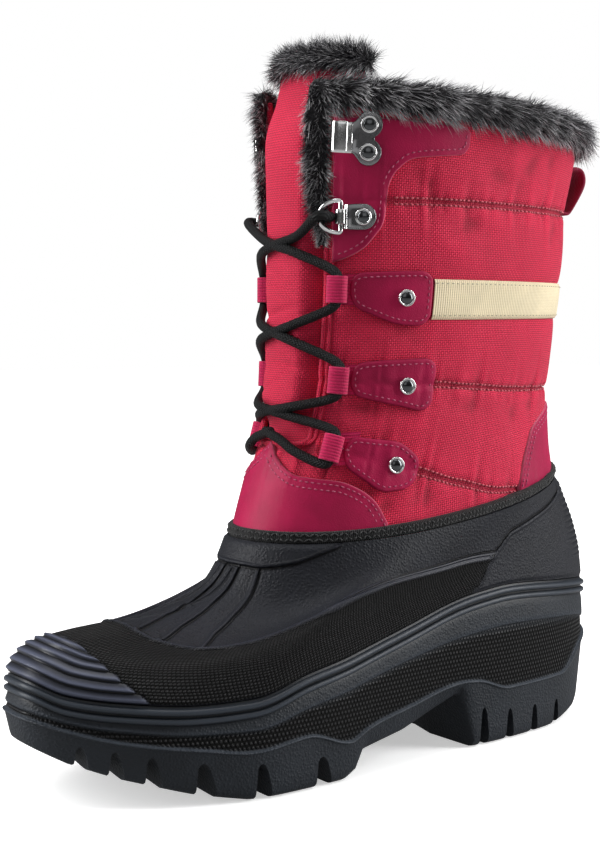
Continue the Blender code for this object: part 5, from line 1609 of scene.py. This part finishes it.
def hairs(name, roots, ways, bend, long, wide, pale, dice):
    """Tapered curved blades from roots, all one mesh, marked from root to tip."""
    count = len(roots)
    turn = unit(np.cross(ways, unit(dice.normal(size=(count, 3))))) * (wide / 2)[:, None]
    long = long[:, None]
    body = []
    for share, size in ((0.0, 1.0), (0.36, 0.85), (0.72, 0.5)):
        centre = roots + ways * long * share + bend * long * share**2
        body += [centre - turn * size, centre + turn * size]
    body.append(roots + ways * long + bend * long)
    base = (np.arange(count) * 7)[:, None, None]
    quads = np.array([(0, 1, 3, 2), (2, 3, 5, 4)])[None] + base
    tris = np.array([(4, 5, 6)])[None] + base
    faces = quads.reshape(-1, 4).tolist() + tris.reshape(-1, 3).tolist()
    marks = {"tip": np.tile([0.0, 0.0, 0.36, 0.36, 0.72, 0.72, 1.0], count), "pale": np.repeat(pale, 7)}
    return make_piece(name, np.stack(body, 1), faces, [finish("fur_hair", fur_hair)], marks=marks)


def between(rows, at):
    """Rows read at whole and part numbers."""
    i = np.clip(at.astype(int), 0, len(rows) - 2)
    t = (at - i)[:, None]
    return rows[i] * (1 - t) + rows[i + 1] * t


def build_fur():
    look = looks()
    dice = np.random.default_rng(look.fur_seed)
    rows = fur_stations()
    share = np.linspace(0, 1, 37)[:-1]
    grid_rows = np.repeat(rows[:, None], len(share), 1)
    core, lean, lift = section_places(grid_rows, np.broadcast_to(share, grid_rows.shape[:2]))
    rough = 0.0005 * np.sin(np.arange(len(rows)) * 1.3)[:, None] * np.sin(share * 40)[None]
    core = core + lean * (rough[..., None] - 0.0006)
    base = grid_piece("fur_collar_pile", ended(core), [finish("fur_pile", pile)], outward=True)
    settle(base, ["fur_collar"])
    count = look.fur_count
    down = np.array((0.0, 0.0, -1.0))
    run = lengths(rows[:, :3])
    along = dice.uniform(0, run[-1], count)
    station = between(rows, np.interp(along, run, np.arange(len(rows))))
    around = dice.uniform(0.02, 0.80, count)
    roots, lean, lift = section_places(station, around)
    away, back = unit(station[:, 6:9]), unit(station[:, 9:12])
    lay = station[:, 16:17]
    tuft = noise_1d(dice, along, 0.0045)[:, None]
    swirl = noise_1d(dice, along + around * 0.02, 0.0035)[:, None]
    droop = 0.66 * np.clip(lift * 1.4, 0, 1)[:, None] * (0.7 + 0.4 * tuft) + 0.30 * (1 - lay / 0.75)
    ways = (lean * 0.72 + back * lay * (0.75 + 0.35 * tuft) + away * 0.22 * swirl + down * droop
            + dice.normal(size=(count, 3)) * 0.20)
    # hairs of one lock lean the same way and are of one length
    locks = 1009
    place = np.floor(along / 0.0036)
    lock = (place * 97 + np.floor((around + 0.31 * place) * 9) * 13).astype(int) % locks
    pull = np.random.default_rng(look.fur_seed + 1).normal(size=(locks, 3))[lock]
    lengthy = np.random.default_rng(look.fur_seed + 2).uniform(0.62, 1.18, locks)[lock]
    ways = unit(ways + 0.30 * pull)
    bend = back * 0.22 * lay + down * 0.16 + tuft * back * 0.14 - 0.16 * pull + dice.normal(size=(count, 3)) * 0.07
    long = look.fur_length * dice.uniform(0.65, 1.15, count) * (0.25 + 0.75 * station[:, 17]) * lengthy
    long = long * np.where(np.abs(lift) > 0.3, 1.0, 0.85)
    wide = dice.uniform(0.00016, 0.00034, count)
    tone = noise_1d(dice, along + around * 0.012, 0.0065) + 0.5 * noise_1d(dice, along - around * 0.02, 0.003)
    pale = (dice.uniform(0, 1, count) < 0.64 + 0.30 * tone) * dice.uniform(0.45, 1.0, count)
    pale = pale * np.clip(0.85 + 0.6 * tone, 0.15, 1.2)
    settle(hairs("fur_collar_hair", roots - lean * 0.001, ways, bend, long, wide, pale, dice))
    build_tongue_fur(dice)


def build_tongue_fur(dice):
    look = looks()
    stations = 60
    turns = np.linspace(146, 214, stations)
    top = tongue_point(turns, 1.055, -TONGUE_THICKNESS / 2)
    up = unit(tongue_point(turns, 1.055, 0) - tongue_point(turns, 0.97, 0))
    away = normal(shaft_form, turns, 0.98)
    order = np.arange(stations)
    size = (0.6 + 0.4 * ease(-1, 8, np.minimum(order, order[::-1])))[:, None]
    section = np.array(TONGUE_FUR_SECTION)
    last = len(section) - 1
    core = []
    for rise, lift in sampled(np.linspace(0, last, 25), np.arange(last + 1), section):
        core.append(top + up * (GAP + rise * 0.0092 * size) + away * (lift * 0.0080 * size))
    base = grid_piece("fur_tongue_pile", ended(np.stack(core, 1)), [finish("fur_pile", pile)], outward=True)
    settle(base, ["fur_tongue"])
    count = look.fur_count // 3
    at = dice.uniform(0, stations - 1.01, count)
    around = dice.uniform(0, last, count)
    rise, lift = sampled(around, np.arange(last + 1), section).T[..., None]
    up, away, size = unit(between(up, at)), unit(between(away, at)), between(size, at)
    roots = between(top, at) + up * (GAP + rise * 0.0092 * size) + away * lift * 0.0080 * size
    lean = unit(up * (rise - 0.35) + away * lift)
    tuft = noise_1d(dice, at, 2.1)[:, None]
    down = np.array((0.0, 0.0, -1.0))
    ways = unit(lean * 0.8 + unit(np.cross(up, away)) * tuft * 0.5 + down * 0.30 * np.clip(lift, 0, 1)
                + dice.normal(size=(count, 3)) * 0.22)
    bend = down * 0.16 + dice.normal(size=(count, 3)) * 0.08
    long = look.fur_length * dice.uniform(0.55, 1.2, count)
    wide = dice.uniform(0.00016, 0.00032, count)
    pale = (dice.uniform(0, 1, count) < 0.40) * dice.uniform(0.4, 1.0, count)
    settle(hairs("fur_tongue_hair", roots - lean * 0.001, ways, bend, long, wide, pale, dice))


def pale_ground(net, spot, uv):
    """A pale floor that looks lit all over, and throws less light on the boot than it shows."""
    look = looks()
    pale = tuple(look.floor_colour)
    seen = net.node("LightPath").outputs["Is Camera Ray"]
    reach = net.node("VectorMath", {"operation": "LENGTH"}, Vector=spot).outputs["Value"]
    # the camera sees a glow that is weaker within about half a metre of the boot, a painted darkening round it that
    # deepens its shadow
    lit = net.times(seen, net.spread(reach, 0.10, 0.55, look.floor_glow, 1.0))
    net.feed(net.blend(seen, shade(pale, 0.30), pale), 0.6, Specular_IOR_Level=0.15,
             Emission_Color=net.blend(lit, (0.12,) * 3, (1.0,) * 3), Emission_Strength=1.0)


def add_object(name, data):
    item = bpy.data.objects.new(name, data)
    bpy.context.scene.collection.objects.link(item)
    return item


def build_floor():
    half = looks().floor_size / 2
    floor = bpy.data.meshes.new("floor")
    floor.from_pydata([(-half, -half, 0), (half, -half, 0), (half, half, 0), (-half, half, 0)], [], [(0, 1, 2, 3)])
    floor.materials.append(finish("pale_floor", pale_ground))
    add_object("floor", floor)


def build_lights():
    """A white surround, and four soft lamps that face the middle of the boot."""
    look = looks()
    world = bpy.data.worlds.new("studio")
    bpy.context.scene.world = world
    world.use_nodes = True
    sky = Net(world.node_tree)
    parts = sky.node("SeparateXYZ", Vector=sky.node("TexCoord").outputs["Generated"])
    dim = sky.spread(parts.outputs[2], -0.25, 0.95, 0.12 * look.sky_strength, 0.80 * look.sky_strength)
    back = world.node_tree.nodes["Background"].inputs
    sky.put(back["Color"], (1.0, 1.0, 1.0))
    sky.put(back["Strength"], sky.calc("MAXIMUM", dim, sky.node("LightPath").outputs["Is Camera Ray"]))
    for name, place, size, power in (("front", (1.25, -0.95, 0.85), (1.2, 1.0), 3.5),
                                     ("left", (-0.48, -0.95, 0.60), (0.5, 1.1), 26.0),
                                     ("right", (0.68, 0.86, 0.55), (0.45, 1.1), 24.0),
                                     ("top", (0.05, 0.10, 1.5), (1.0, 1.0), 18.0)):
        light = bpy.data.lights.new(name, "AREA")
        light.shape = "RECTANGLE"
        light.size, light.size_y = size
        light.energy = power * look.light_share
        lamp = add_object(name, light)
        lamp.location = place
        lamp.rotation_euler = (Vector((0, 0, 0.14)) - Vector(place)).to_track_quat("-Z", "Y").to_euler()


def build_camera():
    """The photograph's viewing angle, its frame a little wider so that the toe is in it."""
    azimuth, elevation, roll = (math.radians(v) for v in (54.66, 4.22, 0.62))
    back = Vector((math.sin(azimuth) * math.cos(elevation), -math.cos(azimuth) * math.cos(elevation),
                   math.sin(elevation)))
    right = Vector((math.cos(azimuth), math.sin(azimuth), 0))
    up = back.cross(right)
    camera = bpy.data.cameras.new("camera")
    camera.sensor_fit = "VERTICAL"
    camera.sensor_height = 36.0
    camera.lens = FOCAL_PIXELS * camera.sensor_height / FRAME_HEIGHT
    camera.clip_start = 0.01
    eye = add_object("camera", camera)
    spot = Vector((0.00404, -0.013, 0.146)) + back * 0.680 - right * 0.0040
    across = right * math.cos(roll) + up * math.sin(roll)
    upward = up * math.cos(roll) - right * math.sin(roll)
    eye.matrix_world = Matrix([(*row, place) for row, place in zip(zip(across, upward, back), spot)] + [(0, 0, 0, 1)])
    bpy.context.scene.camera = eye
    bpy.context.scene.view_settings.view_transform = "Standard"


def colour_setting(name, description, value):
    return bpy.props.FloatVectorProperty(name=name, description=description, subtype="COLOR", size=3, min=0.0,
                                         max=1.0, default=value)


def size_setting(name, description, value, low, high, unit_name="LENGTH"):
    return bpy.props.FloatProperty(name=name, description=description, default=value, min=low, max=high,
                                   unit=unit_name)


class SnowBootSettings(bpy.types.PropertyGroup):
    """Sizes and colours of the snow boot."""

    weave_cell: size_setting("Weave cell", "Width of one thread of the nylon", 0.00096, 0.0003, 0.004)
    lace_width: size_setting("Lace width", "Diameter of the round lace", LACE_DIAMETER, 0.002, 0.006)
    fur_length: size_setting("Fur length", "Usual length of one hair", 0.0082, 0.002, 0.02)
    fur_count: bpy.props.IntProperty(name="Hairs", description="Hairs on the collar", default=34000, min=100,
                                     max=38000)
    fur_seed: bpy.props.IntProperty(name="Fur seed", description="Start of the fur's random lie", default=5)
    floor_size: size_setting("Floor size", "Side of the square floor", 8.0, 1.0, 20.0)
    sky_strength: size_setting("Sky strength", "Brightness of the white surround", 0.26, 0.0, 4.0, "NONE")
    # the glow next to the boot, lower than far off, paints the floor round the boot darker
    floor_glow: size_setting("Floor glow", "Light given off by the pale floor", 0.40, 0.0, 2.0, "NONE")
    light_share: size_setting("Light share", "Share of the lamps' full power", 0.64, 0.0, 4.0, "NONE")
    cloth_colour: colour_setting("Nylon", "Colour of the quilted nylon", (0.570, 0.014, 0.056))
    leather_colour: colour_setting("Leather", "Colour of the sewn-on leather", (0.370, 0.0040, 0.056))
    # the cut edge's pale colour is partly its own and partly a painted highlight where the edge catches light
    leather_edge_colour: colour_setting("Leather edge", "Colour of the cut edge", (0.56, 0.13, 0.20))
    thread_colour: colour_setting("Leather thread", "Colour of the thread on leather", (0.62, 0.09, 0.21))
    belt_colour: colour_setting("Belt", "Colour of the side webbing", (0.86, 0.74, 0.50))
    shell_colour: colour_setting("Shell rubber", "Colour of the foot shell", (0.0085, 0.0095, 0.0140))
    sole_colour: colour_setting("Sole rubber", "Colour of the outsole", (0.0150, 0.0185, 0.0240))
    knurl_colour: colour_setting("Knurling", "Colour of the knurled bands", (0.0034, 0.0034, 0.0038))
    tape_colour: colour_setting("Tape", "Colour of the binding tape", (0.0035, 0.0036, 0.0040))
    lace_colour: colour_setting("Lace", "Colour of the lace", (0.0036, 0.0040, 0.0046))
    fur_colour: colour_setting("Fur", "Colour of the fur's body", (0.016, 0.015, 0.018))
    fur_tip_colour: colour_setting("Fur tips", "Colour of the palest hair tips", (0.74, 0.73, 0.75))
    floor_colour: colour_setting("Floor", "Colour of the floor", (0.93, 0.93, 0.93))


class BuildStage(bpy.types.Operator):
    """Sets the floor, the soft lights and the camera."""

    bl_idname = "snow_boot.stage"
    bl_label = "Stage"

    def execute(self, context):
        build_floor()
        build_lights()
        build_camera()
        return {"FINISHED"}


class BuildSole(bpy.types.Operator):
    """Builds the outsole with its beads, knurled band and lugs, and the insole."""

    bl_idname = "snow_boot.sole"
    bl_label = "Sole"

    def execute(self, context):
        build_outsole()
        build_insole()
        return {"FINISHED"}


class BuildShell(bpy.types.Operator):
    """Builds the moulded foot shell with its ridges, knurled panel and toe ribs."""

    bl_idname = "snow_boot.shell"
    bl_label = "Foot shell"

    def execute(self, context):
        build_shell()
        return {"FINISHED"}


class BuildShaft(bpy.types.Operator):
    """Builds the quilted shaft, its lining, piping and stitches."""

    bl_idname = "snow_boot.shaft"
    bl_label = "Shaft"

    def execute(self, context):
        build_shaft()
        build_quilting()
        return {"FINISHED"}


class BuildTongue(bpy.types.Operator):
    """Builds the padded tongue."""

    bl_idname = "snow_boot.tongue"
    bl_label = "Tongue"

    def execute(self, context):
        build_tongue()
        return {"FINISHED"}


class BuildOverlays(bpy.types.Operator):
    """Builds the leather pieces sewn on the shaft, the side webbing and their stitches."""

    bl_idname = "snow_boot.overlays"
    bl_label = "Overlays"

    def execute(self, context):
        build_overlays()
        return {"FINISHED"}


class BuildTape(bpy.types.Operator):
    """Builds the tape that binds the shaft to the shell."""

    bl_idname = "snow_boot.tape"
    bl_label = "Binding tape"

    def execute(self, context):
        build_tape()
        return {"FINISHED"}


class BuildTabs(bpy.types.Operator):
    """Builds the eyelet tabs, their rivets and webbing loops."""

    bl_idname = "snow_boot.tabs"
    bl_label = "Eyelet tabs"

    def execute(self, context):
        build_tabs()
        return {"FINISHED"}


class BuildMetal(bpy.types.Operator):
    """Builds the D rings, their plates and the speed hooks."""

    bl_idname = "snow_boot.metal"
    bl_label = "Rings and hooks"

    def execute(self, context):
        bright = metals()[0]
        for side, word in SIDES:
            build_ring(side, word, bright)
            build_hook(side, word, bright)
        return {"FINISHED"}


class BuildPull(bpy.types.Operator):
    """Builds the pull loop behind the collar."""

    bl_idname = "snow_boot.pull"
    bl_label = "Pull loop"

    def execute(self, context):
        build_pull_loop()
        return {"FINISHED"}


class BuildLace(bpy.types.Operator):
    """Builds the lace through its rings and loops."""

    bl_idname = "snow_boot.lace"
    bl_label = "Lace"

    def execute(self, context):
        build_lace()
        return {"FINISHED"}


class BuildFur(bpy.types.Operator):
    """Builds the fur of the collar and the tongue."""

    bl_idname = "snow_boot.fur"
    bl_label = "Fur"

    def execute(self, context):
        build_fur()
        return {"FINISHED"}


BUILDERS = (BuildStage, BuildSole, BuildShell, BuildShaft, BuildTongue, BuildOverlays, BuildTape, BuildTabs,
            BuildMetal, BuildPull, BuildLace, BuildFur)


class SnowBootPanel(bpy.types.Panel):
    """Lists the boot's sizes, colours and builders."""

    bl_idname = "VIEW3D_PT_snow_boot"
    bl_label = "Snow boot"
    bl_space_type = "VIEW_3D"
    bl_region_type = "UI"
    bl_category = "Snow boot"

    def draw(self, context):
        for key in SnowBootSettings.__annotations__:
            self.layout.prop(context.scene.snow_boot, key)
        for builder in BUILDERS:
            self.layout.operator(builder.bl_idname)


def register():
    for kind in (SnowBootSettings, *BUILDERS, SnowBootPanel):
        bpy.utils.register_class(kind)
    bpy.types.Scene.snow_boot = bpy.props.PointerProperty(type=SnowBootSettings)


def unregister():
    del bpy.types.Scene.snow_boot
    for kind in (SnowBootPanel, *reversed(BUILDERS), SnowBootSettings):
        bpy.utils.unregister_class(kind)


def main():
    register()
    for builder in BUILDERS:
        group, name = builder.bl_idname.split(".")
        getattr(getattr(bpy.ops, group), name)()


if __name__ == "__main__":
    main()
